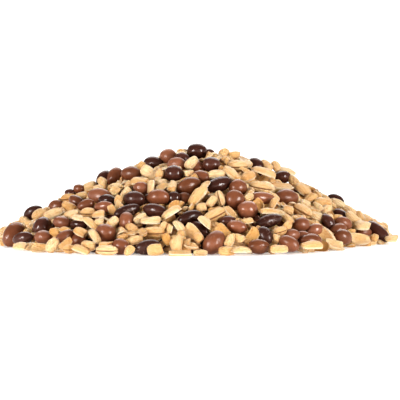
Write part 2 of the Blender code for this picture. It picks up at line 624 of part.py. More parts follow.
def make_material(name, finish):
    """A Principled material of one colour."""
    material = bpy.data.materials.new(name)
    material.use_nodes = True
    shader = material.node_tree.nodes["Principled BSDF"]
    shader.inputs["Base Color"].default_value = finish.colour
    shader.inputs["Roughness"].default_value = finish.roughness
    material.diffuse_color = finish.colour
    return material


def build():
    """The heap as one body: the core with the pieces that show fused on."""
    ground = arrange()
    corners, faces = core(ground)
    core_top = BVHTree.FromPolygons(corners.tolist(), faces)
    heap = mesh_object("heap", corners, faces, "peanut")
    bpy.context.scene.collection.objects.link(heap)
    pieces = bpy.data.collections.new("pieces")
    bpy.context.scene.collection.children.link(pieces)
    for index, piece in enumerate(most_exposed(ground)):
        solid = mesh_object(f"piece_{index:03d}", *seated(piece, core_top), MATERIAL_OF[piece.kind])
        pieces.objects.link(solid)
    union = heap.modifiers.new("union", "BOOLEAN")
    union.operation = "UNION"
    union.operand_type = "COLLECTION"
    union.collection = pieces
    union.solver = "EXACT"
    evaluated = heap.evaluated_get(bpy.context.evaluated_depsgraph_get())
    fused = bpy.data.meshes.new_from_object(evaluated)
    heap.modifiers.clear()
    heap.data = fused
    for piece in list(pieces.objects):
        bpy.data.objects.remove(piece)
    bpy.data.collections.remove(pieces)
    keep_outer_shell(heap.data)
    heap.data.name = "heap"


for leftover in list(bpy.data.objects):
    bpy.data.objects.remove(leftover)
MATERIALS = {name: make_material(name, finish) for name, finish in FINISHES.items()}
build()
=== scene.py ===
"""A heap of trail mix: split roasted peanuts with milk and dark chocolate pieces. Metres, +Z up."""

from collections import namedtuple

import bpy
import numpy as np
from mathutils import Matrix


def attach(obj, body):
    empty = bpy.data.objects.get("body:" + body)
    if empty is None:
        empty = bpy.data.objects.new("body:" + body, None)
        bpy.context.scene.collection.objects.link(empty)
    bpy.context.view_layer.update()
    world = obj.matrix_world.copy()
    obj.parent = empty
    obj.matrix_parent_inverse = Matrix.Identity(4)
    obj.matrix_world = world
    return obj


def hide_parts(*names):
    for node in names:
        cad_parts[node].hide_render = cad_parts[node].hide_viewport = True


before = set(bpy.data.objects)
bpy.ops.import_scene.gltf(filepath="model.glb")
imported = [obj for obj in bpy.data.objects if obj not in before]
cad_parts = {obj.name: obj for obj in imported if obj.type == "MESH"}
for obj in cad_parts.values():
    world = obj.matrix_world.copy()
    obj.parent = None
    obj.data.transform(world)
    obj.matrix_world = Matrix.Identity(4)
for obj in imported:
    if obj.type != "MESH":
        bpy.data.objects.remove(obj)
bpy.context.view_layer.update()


# Form of the heap
# The mix is poured out on a flat surface and comes to rest as a low cone with a rounded summit.
# Its foot is uneven: it runs out further at front left and front right and draws in at the right.
HEAP_HEIGHT = 0.068
HEAP_RADIUS = 0.145
FLANK_SLOPE = 0.527
SUMMIT_ROUNDING = 0.037
FRONT_LEFT_BULGE = 0.014
FRONT_RIGHT_BULGE = 0.009
RIGHT_HOLLOW = 0.019
OUTLINE_WAVES = 0.0020
WAVES_ROUND = 5
RIM_REACH = 1.05

# Direction and width of each bulge and of the hollow, in degrees from +X towards +Y
FRONT_LEFT = (-122, 30)
FRONT_RIGHT = (-64, 16)
RIGHT = (-29, 27)


def unit(vectors):
    """Vectors along the last axis, made one long."""
    return vectors / np.linalg.norm(vectors, axis=-1, keepdims=True)


def outline(angle):
    """Distance of the heap's foot from its middle: a circle with two bulges, a hollow and small waves."""
    turn = np.degrees(angle)

    def bump(middle, width):
        """One in the middle direction, falling off as a bell curve."""
        return np.exp(-(((turn - middle + 180) % 360 - 180) / width) ** 2)

    bulges = FRONT_LEFT_BULGE * bump(*FRONT_LEFT) + FRONT_RIGHT_BULGE * bump(*FRONT_RIGHT)
    waves = OUTLINE_WAVES * np.cos(WAVES_ROUND * angle + 1)
    return HEAP_RADIUS + bulges - RIGHT_HOLLOW * bump(*RIGHT) + waves


def surface(x, y):
    """Height of the heap's tops: a cone with a rounded summit, ending just past the outline."""
    share = np.hypot(x, y) / outline(np.arctan2(y, x))
    fall = FLANK_SLOPE * (np.hypot(share * HEAP_RADIUS, SUMMIT_ROUNDING) - SUMMIT_ROUNDING)
    return np.where(share < RIM_REACH, HEAP_HEIGHT - fall, 0.0)


def upright(x, y, step=0.002):
    """Direction square to the heap's surface, one row for each place."""
    across = surface(x - step, y) - surface(x + step, y)
    along = surface(x, y - step) - surface(x, y + step)
    return unit(np.stack([across, along, 2 * step + 0 * across], -1))


# How the pieces lie
# Loose pieces roll to a stop on those already lying there: each comes to rest where it lies low, with
# its length along the slope. Pieces that stand out at the front have their own places.

# The eye in front of the heap: its place, the height at which it aims, and its pixels
EYE_DISTANCE = 1.300
EYE_HEIGHT = 0.072
AIM_HEIGHT = 0.031
FOCAL_PIXELS = 1781.0
MIDDLE_PIXEL = 200.0
VIEW_PIXELS = 400

# The stretch of a sight line on which a front piece's place is looked for
SIGHT_START = EYE_DISTANCE - 0.190
SIGHT_END = EYE_DISTANCE + 0.060
SIGHT_STEPS = 1000

# The grid of heights, the depth of the layers, and how far pieces that touch press into each other
CELL = 0.00125
PATCH_CELLS = 9
SHELL_DEPTH = 0.022
TOP_LAYER = 0.009
CONTACT = 0.0009

# Shares of chocolate, of milk chocolate in it, and of the peanuts' forms in the rest. The top layer in
# front of the limit has its chocolate from the pieces that stand out, and from nowhere else.
FRONT_LIMIT = 0.012
CHOCOLATE_SHARE = 0.38
MILK_SHARE = 0.56
NUT_SHARES = {"half": 0.80, "whole": 0.08, "bit": 0.12}

# How a piece comes to rest: the spots it tries, how much an even top counts, and how far it rolls over
# and tilts. It shows where it is topmost in a few cells.
TRIES = 20
TRY_REACH = 0.004
EVENNESS = 0.35
TOP_UNEVENNESS = (-0.0015, 0.001)
SPLIT_ROLL = (0.2, 1.1)
ROUND_ROLL = 0.28
SLOPE_TILT = 0.2
SHOWN_CELLS = 3
SEED = 5

# How a piece that stands out lies: how deep it is sunk, how far it leans, and how it clears its
# neighbours. A whole peanut turns its seam, and a half is never narrower than a share of its length.
SEEN_SUNK = 0.3
SEEN_LEAN = 0.45
SEEN_DOTS = 90
SEEN_OVERLAP = 0.0013
NEIGHBOUR_REACH = 0.026
FARTHEST_BACK = 30
NARROWEST_HALF = 0.56
ROUND_THICKNESS = 0.96
SEAM_TURN = (0.25, 0.97)
SPLIT_STAND = 0.6

# How much of it the other pieces leave clear
CLEAR_SHARE = 0.92
HIDING_DOTS = 26
HIDING_DEPTH = 0.001
HIDING_SHARE = 0.12

# Half the length of a piece, its width as a share of the length, and its thickness as a share of the width
Sizes = namedtuple("Sizes", "half_length width thickness")
SIZES = {
    "half": Sizes((0.0058, 0.0086), (0.45, 0.59), (0.85, 1.05)),
    "whole": Sizes((0.0056, 0.0076), (0.52, 0.64), (0.90, 1.00)),
    "bit": Sizes((0.0034, 0.0052), (0.65, 0.90), (0.55, 0.80)),
    "milk": Sizes((0.0062, 0.0088), (0.62, 0.98), (0.92, 1.00)),
    "dark": Sizes((0.0062, 0.0092), (0.56, 0.95), (0.90, 1.00)),
}

# Pieces that stand out at the front: middle, length and width in pixels, tilt in degrees with the right
# end up, and how far a piece lies behind its neighbours in millimetres. A face is a half peanut that
# turns its flat face to the eye.
Seen = namedtuple("Seen", "kind column row long wide tilt behind", defaults=(0,))
SEEN = [Seen(*piece) for piece in [
    ("milk", 13.5, 234.5, 26, 19, 55), ("dark", 23, 238.5, 22, 13, 12), ("dark", 42, 227, 20, 19, 60),
    ("dark", 33, 212, 21, 12, 25, 2), ("milk", 56, 206.5, 16, 13, 17, 1), ("milk", 43, 237, 18, 14, 0, 4),
    ("milk", 62, 222.5, 18, 13, -10, 1), ("dark", 78.5, 225, 17, 12, 0, 2), ("milk", 65, 236, 20, 11, 25),
    ("milk", 78, 240, 16, 13, 0, 3), ("dark", 70, 193, 11, 9, 0, 3), ("milk", 79, 189, 11, 10, 0, 2),
    ("dark", 104, 178.5, 18, 14, 45, 3), ("milk", 114.5, 176.5, 19, 15, 60),
    ("milk", 131, 174, 20, 15, 0), ("milk", 100, 196, 25, 15, -8), ("dark", 107, 200, 18, 12, 0),
    ("milk", 76.5, 201.5, 16, 12, -30, 1), ("milk", 86, 205, 18, 11, 20), ("milk", 104, 207, 20, 12, 5),
    ("dark", 134.5, 199.5, 22, 18, 0), ("milk", 141, 188.5, 16, 14, 0), ("dark", 127, 211, 27, 12, 18),
    ("milk", 126.5, 221.5, 18, 16, 90), ("milk", 105.5, 233.5, 20, 20, 0),
    ("milk", 120.5, 246.5, 17, 16, -20), ("dark", 148, 247, 28, 15, 10), ("dark", 153.5, 163, 20, 14, -5),
    ("milk", 168, 156.5, 16, 16, 0), ("dark", 182, 159.5, 15, 14, 0, 2), ("dark", 197, 151.5, 20, 18, 0),
    ("milk", 177, 165, 19, 16, 0, 4), ("dark", 174, 174, 19, 18, 0), ("milk", 196.5, 167, 18, 13, 0, 1),
    ("milk", 201, 177, 18, 13, -10, 1), ("milk", 189, 186, 25, 17, 20), ("milk", 158.5, 197.5, 23, 17, 0),
    ("dark", 174, 198, 14, 13, 0, 2), ("milk", 184, 198, 15, 12, 0, 5), ("dark", 155, 210.5, 25, 14, -10),
    ("dark", 190, 217.5, 25, 14, 18), ("dark", 200, 229, 22, 13, -35, 2),
    ("milk", 214, 242.5, 25, 21, 50), ("dark", 211.5, 164.5, 18, 16, 0),
    ("dark", 255.5, 165, 17, 14, -30), ("dark", 219, 184.5, 26, 15, 17), ("milk", 238, 188, 17, 17, 0),
    ("milk", 234.5, 200, 20, 20, 0), ("milk", 262, 198, 26, 13, -5), ("dark", 209, 153.5, 11, 10, 0, 6),
    ("milk", 286.5, 197.5, 24, 16, -3), ("milk", 247.5, 210, 20, 20, 0),
    ("dark", 228, 221.5, 19, 13, 0, 4), ("milk", 237, 227, 21, 14, -10), ("dark", 269, 221, 28, 14, 15),
    ("dark", 265, 235.5, 19, 14, -60), ("milk", 258.5, 246.5, 22, 16, 0), ("dark", 283, 177, 16, 13, 0),
    ("dark", 336, 200, 19, 11, -25, 3), ("dark", 328, 222, 18, 13, -60),
    ("dark", 341.5, 215, 18, 11, -30, 3), ("milk", 301.5, 224.5, 16, 14, 0),
    ("milk", 315, 230.5, 18, 14, 10), ("milk", 343.5, 223.5, 18, 13, -20),
    ("milk", 338, 230, 18, 13, 15, 3), ("milk", 343, 237, 18, 15, -20),
    ("milk", 303.5, 236.5, 15, 11, -10, 1), ("milk", 292, 235, 16, 12, 0, 4),
    ("milk", 289, 243.5, 21, 16, -25), ("milk", 311, 240.5, 22, 13, 0, 3),
    ("dark", 378, 231.5, 27, 14, -42), ("milk", 364, 232.5, 16, 11, 0, 3), ("whole", 107, 252, 23, 11, 0),
    ("face", 180.5, 252.5, 25, 9, 0), ("face", 157.5, 249.5, 21, 12, 10), ("face", 39, 247, 18, 10, 0),
    ("half", 22, 247.5, 17, 8, 0), ("half", 52.5, 246, 16, 12, 60), ("half", 81, 251, 18, 8, -20),
    ("half", 89, 245.5, 15, 11, 0), ("whole", 69, 249, 12, 10, 0), ("half", 227, 251, 18, 10, 0),
    ("half", 241.5, 253, 20, 7, 0), ("half", 279, 250, 19, 9, 0), ("half", 311, 247, 22, 9, 0),
    ("face", 335.5, 243.5, 20, 10, -15), ("face", 361, 238.5, 21, 12, -5), ("half", 392, 239.5, 16, 8, 0),
    ("whole", 153, 232.5, 24, 13, 0), ("face", 192, 232.5, 20, 14, -35), ("half", 198, 197, 24, 12, 52),
    ("face", 174.5, 206, 14, 9, 25), ("half", 177, 243, 18, 13, 90), ("whole", 215, 215.5, 24, 14, 25),
    ("whole", 260.5, 187, 23, 12, -10), ("whole", 302.5, 211, 21, 14, -30),
    ("face", 325.5, 236.5, 18, 11, -50), ("half", 263.5, 174, 25, 8, -20), ("whole", 237, 166, 22, 13, 0),
    ("half", 363.5, 227.5, 21, 9, 0), ("half", 172.5, 214.5, 24, 8, 32), ("half", 151, 222, 21, 8, 0),
    ("half", 285, 173, 20, 9, 0, 2), ("half", 303, 191, 18, 9, -40), ("face", 252, 235.5, 20, 12, 55),
    ("half", 317, 217, 17, 11, -20), ("half", 322, 203.5, 18, 10, 0), ("half", 337.5, 204.5, 18, 9, -30),
    ("half", 90, 224.5, 18, 8, -40), ("whole", 88, 213, 15, 12, 0), ("half", 81.5, 233.5, 17, 9, -25),
    ("half", 91, 187.5, 18, 9, 20), ("half", 139.5, 182.5, 18, 8, 0), ("half", 149.5, 173, 18, 12, -35),
    ("half", 179, 228, 16, 8, -50), ("face", 222.5, 231, 17, 12, -45), ("half", 231.5, 175.5, 20, 9, -40),
    ("half", 352.5, 219, 18, 9, -50), ("half", 163.5, 227.5, 11, 8, 60),
    ("half", 170.5, 228.5, 12, 6, 80), ("half", 167.5, 239.5, 13, 10, -60),
    ("half", 199, 238, 11, 10, -60), ("face", 192, 244.5, 16, 7, -10), ("face", 200.5, 252.5, 15, 7, 0),
    ("half", 202, 207.5, 12, 9, 0), ("half", 211.5, 202, 13, 9, 50), ("whole", 220, 198.5, 16, 10, -75),
    ("face", 232, 213, 20, 9, -50), ("half", 205.5, 224, 18, 8, -42), ("half", 246.5, 222, 13, 6, 10),
    ("half", 230, 240, 15, 9, 65), ("half", 239, 239, 14, 9, -20), ("whole", 279, 231.5, 16, 10, 15),
    ("half", 288, 220, 12, 9, -50), ("half", 287, 228, 13, 9, 60), ("face", 277, 211, 20, 8, -12),
    ("half", 268, 213, 17, 6, 0), ("face", 259.5, 205, 15, 10, -50), ("half", 288.5, 210, 13, 9, -20),
    ("half", 273.5, 203.5, 12, 7, 60), ("half", 248.5, 197.5, 11, 9, 30), ("half", 224, 153.5, 11, 9, 50),
    ("half", 234.5, 155, 13, 8, 0), ("half", 226, 161, 10, 8, -40), ("half", 216.5, 175.5, 18, 9, 3),
    ("half", 247, 177.5, 17, 9, 20), ("face", 282.5, 185.5, 23, 10, -5), ("half", 267, 165.5, 14, 9, -40),
    ("half", 276, 166.5, 11, 8, -60), ("half", 294, 181, 14, 9, -45), ("half", 310.5, 197.5, 15, 9, 35),
    ("half", 318, 207, 12, 8, -40), ("half", 326, 210, 11, 8, 30), ("half", 317, 195, 10, 7, -50),
    ("half", 305, 203, 12, 7, -20), ("half", 337.5, 217.5, 10, 6, 0), ("half", 350, 211.5, 14, 8, -35),
    ("half", 360.5, 217, 13, 8, -60), ("half", 374.5, 237.5, 9, 8, 60), ("half", 25, 221, 12, 9, -30),
    ("half", 29.5, 224.5, 10, 7, -20), ("face", 66, 243, 16, 9, 42), ("half", 40.5, 214.5, 19, 10, 25),
    ("half", 54, 214.5, 20, 9, 22), ("half", 69, 207.5, 16, 11, -35), ("whole", 69, 198, 16, 10, 8),
    ("half", 82, 195.5, 13, 8, 20), ("half", 73, 214.5, 14, 7, 15), ("half", 79, 219.5, 15, 6, -12),
    ("half", 56, 232, 13, 10, -10), ("half", 65, 230.5, 12, 6, -10), ("half", 94.5, 237.5, 16, 8, -55),
    ("half", 103.5, 183.5, 14, 9, -45), ("half", 100, 188.5, 13, 7, 10), ("face", 116, 190.5, 13, 9, -12),
    ("face", 118.5, 200.5, 12, 8, 75), ("half", 125.5, 193.5, 13, 8, 60),
    ("face", 112, 210.5, 13, 8, -65), ("half", 100, 215.5, 16, 7, 5), ("half", 100.5, 222, 14, 8, 10),
    ("half", 112, 223, 14, 9, 40), ("half", 140, 218.5, 14, 9, 30), ("half", 128, 185, 9, 7, 70),
    ("half", 151.5, 187.5, 14, 7, 85), ("half", 140.5, 167, 11, 8, 60), ("half", 159, 173.5, 11, 8, 65),
    ("face", 163, 186, 15, 8, 35), ("half", 172, 189, 9, 6, 0), ("half", 191, 163, 16, 10, 45),
    ("half", 189, 173, 10, 7, 10), ("face", 130.5, 233, 17, 6, 5), ("half", 135.5, 240, 15, 9, 15),
    ("half", 122.5, 237.5, 11, 7, 20), ("half", 129.5, 250.5, 13, 9, 45), ("half", 106, 245.5, 14, 6, -5),
    ("half", 169.5, 219.5, 15, 9, 25, 2), ("half", 182.5, 235.5, 12, 8, -35, 3),
    ("half", 276.5, 238, 10, 7, -30, 3),
]]

# A piece of the mix: its middle, half its length, width and thickness, and its own axes as columns.
# A half peanut's flat face looks against its third axis.
Piece = namedtuple("Piece", "kind place sizes turn")


def is_split(kind):
    """Whether a piece has a flat face through its middle."""
    return kind == "half"


def spans(right, forward, sizes, turn, split):
    """Lowest and highest point of each piece above each place round its middle, and where it has any.

    Along an upright line an ellipsoid starts and ends at the two roots of a quadratic. The flat face
    of a half peanut cuts that stretch short.
    """
    form = np.einsum("kij,kj,klj->kil", turn, 1 / sizes**2, turn)[:, :, :, None, None]
    square = form[:, 2, 2]
    cross = form[:, 0, 2] * right + form[:, 1, 2] * forward
    rest = form[:, 0, 0] * right**2 + 2 * form[:, 0, 1] * right * forward + form[:, 1, 1] * forward**2 - 1
    room = cross**2 - square * rest
    root = np.sqrt(np.maximum(room, 0))
    low = (-cross - root) / square
    high = (-cross + root) / square
    within = room > 0
    if split:
        facing = turn[:, :, 2][:, :, None, None]
        steep = np.where(np.abs(facing[:, 2]) < 1e-3, 1e-3, facing[:, 2])
        flat = -(facing[:, 0] * right + facing[:, 1] * forward) / steep
        low = np.where(steep > 0, np.maximum(low, flat), low)
        high = np.where(steep > 0, high, np.minimum(high, flat))
        within = within & (low < high)
    return low, high, within


class Ground:
    """Height of what has been laid so far, on a square grid, and which piece is topmost there."""

    def __init__(self):
        self.half = int(np.ceil((HEAP_RADIUS + FRONT_LEFT_BULGE) / CELL)) + PATCH_CELLS + 2
        self.axis = np.arange(-self.half, self.half + 1) * CELL
        self.top = surface(*np.meshgrid(self.axis, self.axis))
        self.height = np.maximum(0, self.top - SHELL_DEPTH)
        self.owner = np.full(self.height.shape, -1)
        self.pieces = []

    def patch(self, x, y):
        """Rows and columns of the cells round each place, and how far they lie from it."""
        around = np.arange(-PATCH_CELLS, PATCH_CELLS + 1)
        limit = 2 * self.half - PATCH_CELLS
        row = np.clip(np.rint(y / CELL).astype(int) + self.half, PATCH_CELLS, limit)
        column = np.clip(np.rint(x / CELL).astype(int) + self.half, PATCH_CELLS, limit)
        row, column = np.broadcast_arrays(
            row[:, None, None] + around[:, None], column[:, None, None] + around[None, :])
        return row, column, self.axis[column] - x[:, None, None], self.axis[row] - y[:, None, None]

    def cells(self, piece):
        """Cells that a piece covers, with its lowest and highest points there."""
        x, y, z = piece.place
        row, column, right, forward = self.patch(np.array([x]), np.array([y]))
        low, high, within = spans(
            right, forward, piece.sizes[None], piece.turn[None], is_split(piece.kind))
        return row[within], column[within], z + low[within], z + high[within]

    def lay(self, piece):
        """Add a piece, which raises the ground that it covers."""
        row, column, _, high = self.cells(piece)
        higher = high > self.height[row, column]
        self.height[row[higher], column[higher]] = high[higher]
        self.owner[row[higher], column[higher]] = len(self.pieces)
        self.pieces.append(piece)


def sight_line(column, row):
    """The eye, and the direction in which it sees a pixel, with one unit of depth."""
    drop = np.arctan2(EYE_HEIGHT - AIM_HEIGHT, EYE_DISTANCE)
    right = (column - MIDDLE_PIXEL) / FOCAL_PIXELS
    up = (MIDDLE_PIXEL - row) / FOCAL_PIXELS
    way = np.array([right, np.cos(drop) + up * np.sin(drop), up * np.cos(drop) - np.sin(drop)])
    return np.array([0.0, -EYE_DISTANCE, EYE_HEIGHT]), way


def pixels(points):
    """Column, row and depth at which the eye sees each point."""
    drop = np.arctan2(EYE_HEIGHT - AIM_HEIGHT, EYE_DISTANCE)
    forward = points[..., 1] + EYE_DISTANCE
    up = points[..., 2] - EYE_HEIGHT
    depth = forward * np.cos(drop) - up * np.sin(drop)
    rise = forward * np.sin(drop) + up * np.cos(drop)
    column = MIDDLE_PIXEL + FOCAL_PIXELS * points[..., 0] / depth
    return column, MIDDLE_PIXEL - FOCAL_PIXELS * rise / depth, depth


def seen_piece(seen):
    """A piece turned as it is seen, its middle just under the heap's surface, and its sight line."""
    eye, way = sight_line(seen.column, seen.row)
    depth = np.linspace(SIGHT_START, SIGHT_END, SIGHT_STEPS)
    points = eye + way * depth[:, None]
    scale = EYE_DISTANCE / FOCAL_PIXELS
    buried = surface(points[:, 0], points[:, 1]) - SEEN_SUNK * seen.wide * scale - points[:, 2]
    first = np.argmax(buried > 0) if buried.max() > 0 else np.argmax(buried)
    depth = depth[first]
    scale = depth / FOCAL_PIXELS
    outward = upright(*points[first, :2])

    tilt = np.radians(seen.tilt)
    lean = -(outward[0] * np.cos(tilt) + outward[2] * np.sin(tilt)) / min(outward[1], -0.2)
    along = unit(np.array([np.cos(tilt), np.clip(lean, -SEEN_LEAN, SEEN_LEAN), np.sin(tilt)]))
    facing = unit(-way - (-way @ along) * along)
    upward = np.cross(along, facing)
    upward = upward if upward @ outward > 0 else -upward
    half_length = seen.long * scale / 2 / np.hypot(along[0], along[2])
    half_width = seen.wide * scale / 2
    third = unit(SEAM_TURN[0] * facing + SEAM_TURN[1] * upward) if seen.kind == "whole" else facing
    if seen.kind in ("half", "face"):
        half_width = max(NARROWEST_HALF * half_length, seen.wide * scale / 2)
        bare = np.clip(seen.wide * scale / half_width - 1, 0, 1)
        third = bare * facing + np.sqrt(1 - bare**2) * upward
    sizes = np.array([half_length, half_width, half_width * ROUND_THICKNESS])
    third = -third if seen.kind == "face" else third
    turn = np.stack([along, np.cross(third, along), third], 1)
    kind = "half" if seen.kind == "face" else seen.kind
    return Piece(kind, eye + way * depth, sizes, turn), way


def overlap(piece, others, dots):
    """How deep a piece's surface lies inside its neighbours."""
    deepest = 0.0
    for other in others:
        if np.linalg.norm(other.place - piece.place) > NEIGHBOUR_REACH:
            continue
        own = piece.place + (dots * piece.sizes) @ piece.turn.T
        inside = 1 - np.linalg.norm((own - other.place) @ other.turn / other.sizes, axis=1)
        deepest = max(deepest, inside.max() * other.sizes.min())
    return deepest


def front_pieces():
    """The pieces that stand out, each moved back along its sight line until it clears its neighbours."""
    dots = unit(np.random.default_rng(SEED).normal(size=(SEEN_DOTS, 3)))
    laid = []
    for seen in sorted(SEEN, key=lambda seen: (seen.behind > 0, -seen.row)):
        piece, way = seen_piece(seen)
        start = piece.place
        for back in np.arange(seen.behind, FARTHEST_BACK, 1.0) / 1000:
            place = start + way * back
            reach = np.sqrt(((piece.turn[2] * piece.sizes) ** 2).sum())
            place[2] = max(place[2], reach * (SPLIT_STAND if is_split(piece.kind) else 1.0))
            piece = piece._replace(place=place)
            if overlap(piece, laid, dots) < SEEN_OVERLAP:
                break
        laid.append(piece)
    return laid


class FrontView:
    """Depth of the front pieces at each pixel, which the others must not hide."""

    def __init__(self, pieces):
        self.depth = np.full((VIEW_PIXELS, VIEW_PIXELS), -1.0)
        self.dots = unit(np.random.default_rng(SEED).normal(size=(HIDING_DOTS, 3)))
        rows, columns = np.mgrid[0:VIEW_PIXELS, 0:VIEW_PIXELS]
        for piece in pieces:
            column, row, depth = pixels(piece.place)
            reach = CLEAR_SHARE * np.sqrt(piece.sizes[0] * piece.sizes[1]) * FOCAL_PIXELS / depth
            hidden = np.hypot(columns - column, rows - row) < reach
            self.depth[hidden] = np.maximum(self.depth[hidden], depth)

    def hides(self, places, sizes, turns):
        """Share of each piece that would stand in front of a front piece."""
        points = places[:, None] + np.einsum("kij,nj->kni", turns, self.dots * sizes)
        column, row, depth = pixels(points)
        column = np.clip(column.astype(int), 0, VIEW_PIXELS - 1)
        row = np.clip(row.astype(int), 0, VIEW_PIXELS - 1)
        return (self.depth[row, column] > depth + HIDING_DEPTH).mean(axis=1)


def draw_piece(rng, chocolate):
    """Kind and half sizes of a piece of the mix."""
    if rng.random() < chocolate:
        kind = "milk" if rng.random() < MILK_SHARE else "dark"
    else:
        kind = rng.choice(list(NUT_SHARES), p=list(NUT_SHARES.values()))
    return str(kind), draw_sizes(rng, kind)


def draw_sizes(rng, kind):
    """Half the length, width and thickness of a piece, uneven from piece to piece."""
    half_length, width, thickness = (rng.uniform(*limits) for limits in SIZES[kind])
    return half_length * np.array([1.0, width, width * thickness])


def draw_turns(rng, outward, split):
    """Ways to lie: length along the slope in any direction, rolled over, either way up if split."""
    count = len(outward)
    angle = rng.uniform(0, 2 * np.pi, count)
    roll = rng.uniform(*SPLIT_ROLL) if split else ROUND_ROLL
    third = unit(outward + rng.normal(size=(count, 3)) * roll)
    if split:
        third *= rng.choice([-1, 1], count)[:, None]
    along = np.stack([np.cos(angle), np.sin(angle), rng.normal(size=count) * SLOPE_TILT], 1)
    along = unit(along - (along * third).sum(1, keepdims=True) * third)
    return np.stack([along, np.cross(third, along), third], 2)


def settle(ground, rng, wanted, ceiling, view, spacing, lack, proud, kinds=None):
    """Lay a piece at each place that lies too low, the way that leaves the least room beneath it.

    A place lies too low by at least lack, and a piece stands proud of the wanted height by less than
    proud. Under the ceiling, which is the front pieces' undersides, a piece may only touch.
    """
    line = np.arange(-HEAP_RADIUS - FRONT_LEFT_BULGE, HEAP_RADIUS + FRONT_LEFT_BULGE, spacing)
    places = np.stack(np.meshgrid(line, line), -1).reshape(-1, 2)
    places = places + rng.uniform(-0.5, 0.5, places.shape) * spacing
    for x, y in rng.permutation(places):
        column = int(round(x / CELL)) + ground.half
        row = int(round(y / CELL)) + ground.half
        near = (slice(row - 1, row + 2), slice(column - 1, column + 2))
        if (wanted[near] - ground.height[near]).mean() < lack:
            continue
        kind, sizes = draw_piece(rng, 0.0 if view and y < FRONT_LIMIT else CHOCOLATE_SHARE)
        if kinds:
            kind = str(rng.choice(kinds))
            sizes = draw_sizes(rng, kind)
        spots = np.array([x, y]) + rng.uniform(-TRY_REACH, TRY_REACH, (TRIES, 2))
        turns = draw_turns(rng, upright(*spots.T), is_split(kind))
        rows, columns, right, forward = ground.patch(*spots.T)
        low, high, within = spans(right, forward, np.tile(sizes, (TRIES, 1)), turns, is_split(kind))
        under = ground.height[rows, columns]
        rest = np.where(within, under - low, -1).max(axis=(1, 2)) - CONTACT
        level = rest[:, None, None]
        over = np.where(within, level + high - wanted[rows, columns], -1).max(axis=(1, 2))
        roof = np.where(within, level + high - ceiling[rows, columns], -1).max(axis=(1, 2))
        empty = np.where(within, level + low - under, 0).sum(axis=(1, 2)) / within.sum(axis=(1, 2))
        inside = np.hypot(*spots.T) < outline(np.arctan2(spots[:, 1], spots[:, 0])) - sizes[0] / 2
        fits = (over < proud) & (roof < CONTACT) & inside
        middles = np.column_stack([spots, rest])
        if view:
            fits &= view.hides(middles, sizes, turns) < HIDING_SHARE
        if fits.any():
            uneven = np.abs(over - rng.uniform(*TOP_UNEVENNESS))
            score = empty + EVENNESS * uneven + np.where(fits, 0, 1)
            best = np.argmin(score)
            ground.lay(Piece(kind, middles[best], sizes, turns[best]))


def arrange():
    """All pieces of the heap's outer layers.

    Those beneath come first, then the front ones, the rest of the top layer, and what fills its gaps.
    """
    rng = np.random.default_rng(SEED)
    ground = Ground()
    front = front_pieces()
    ceiling = np.full(ground.height.shape, 1.0)
    for piece in front:
        row, column, low, _ = ground.cells(piece)
        np.minimum.at(ceiling, (row, column), low)
    beneath = np.where(ground.top > 0, ground.top - TOP_LAYER, 0)
    for spacing in (0.008, 0.007):
        settle(ground, rng, beneath, ceiling, None, spacing, lack=0.005, proud=0.001)
    for piece in front:
        ground.lay(piece)
    view = FrontView(front)
    clear = np.full(ground.height.shape, 1.0)
    for spacing in (0.008, 0.007, 0.006):
        settle(ground, rng, ground.top, clear, view, spacing, lack=0.005, proud=0.0022)
    for spacing in (0.0055, 0.005):
        settle(ground, rng, ground.top, clear, view, spacing, lack=0.008, proud=-0.002)
    settle(ground, rng, ground.top, clear, view, 0.005, lack=0.0085, proud=0.001, kinds=["bit"])
    return ground


ground = arrange()
shown = np.bincount(ground.owner[ground.owner >= 0], minlength=len(ground.pieces))
heap_pieces = [piece for piece, cells in zip(ground.pieces, shown) if cells >= SHOWN_CELLS]


# Inner body
# Under the outer layers lies more of the same mix. What little of it shows between the pieces is in
# deep shade, so it is one closed body with a lumpy top, coloured as shaded nuts and chocolate.
CORE_SIDES = 120
CORE_RINGS = 44
CORE_INSET = 0.024
CORE_COVER = 0.001
LUMP_SIZE = 0.011
LUMP_HEIGHT = 0.0016
LUMP_BENDS = (90, 70)
LUMP_SWAY = 2
MIX_BLOTCH = 0.009
MIX_GRAIN = 0.0012
MIX_SHADES = [(0.40, "#26150C"), (0.55, "#462814"), (0.66, "#6E4827")]


def hex_colour(code):
    """Linear red, green, blue and alpha of an sRGB hex code."""
    shares = np.array([int(code[i:i + 2], 16) for i in (1, 3, 5)]) / 255
    linear = np.where(shares <= 0.04045, shares / 12.92, ((shares + 0.055) / 1.055) ** 2.4)
    return (*linear.tolist(), 1.0)


def add_node(tree, kind, inputs, settings=(), stops=()):
    """A node with its input values or links, its settings, and a colour ramp's places and hex colours."""
    node = tree.nodes.new(kind)
    for name, value in dict(settings).items():
        setattr(node, name, value)
    for name, value in inputs.items():
        if isinstance(value, bpy.types.NodeSocket):
            tree.links.new(value, node.inputs[name])
        else:
            node.inputs[name].default_value = value
    for _ in stops[2:]:
        node.color_ramp.elements.new(0.5)
    for i, (place, code) in enumerate(stops):
        node.color_ramp.elements[i].position = place
        node.color_ramp.elements[i].color = hex_colour(code)
    return node


def new_material(name):
    """A node material that is empty but for object coordinates, with its tree."""
    material = bpy.data.materials.new(name)
    material.use_nodes = True
    tree = material.node_tree
    tree.nodes.clear()
    coordinates = add_node(tree, "ShaderNodeTexCoord", {}).outputs["Object"]
    return material, tree, coordinates


def finish_material(tree, sockets):
    """The Principled shader with its values and links, joined to the output."""
    shader = add_node(tree, "ShaderNodeBsdfPrincipled", sockets)
    add_node(tree, "ShaderNodeOutputMaterial", {"Surface": shader.outputs["BSDF"]})


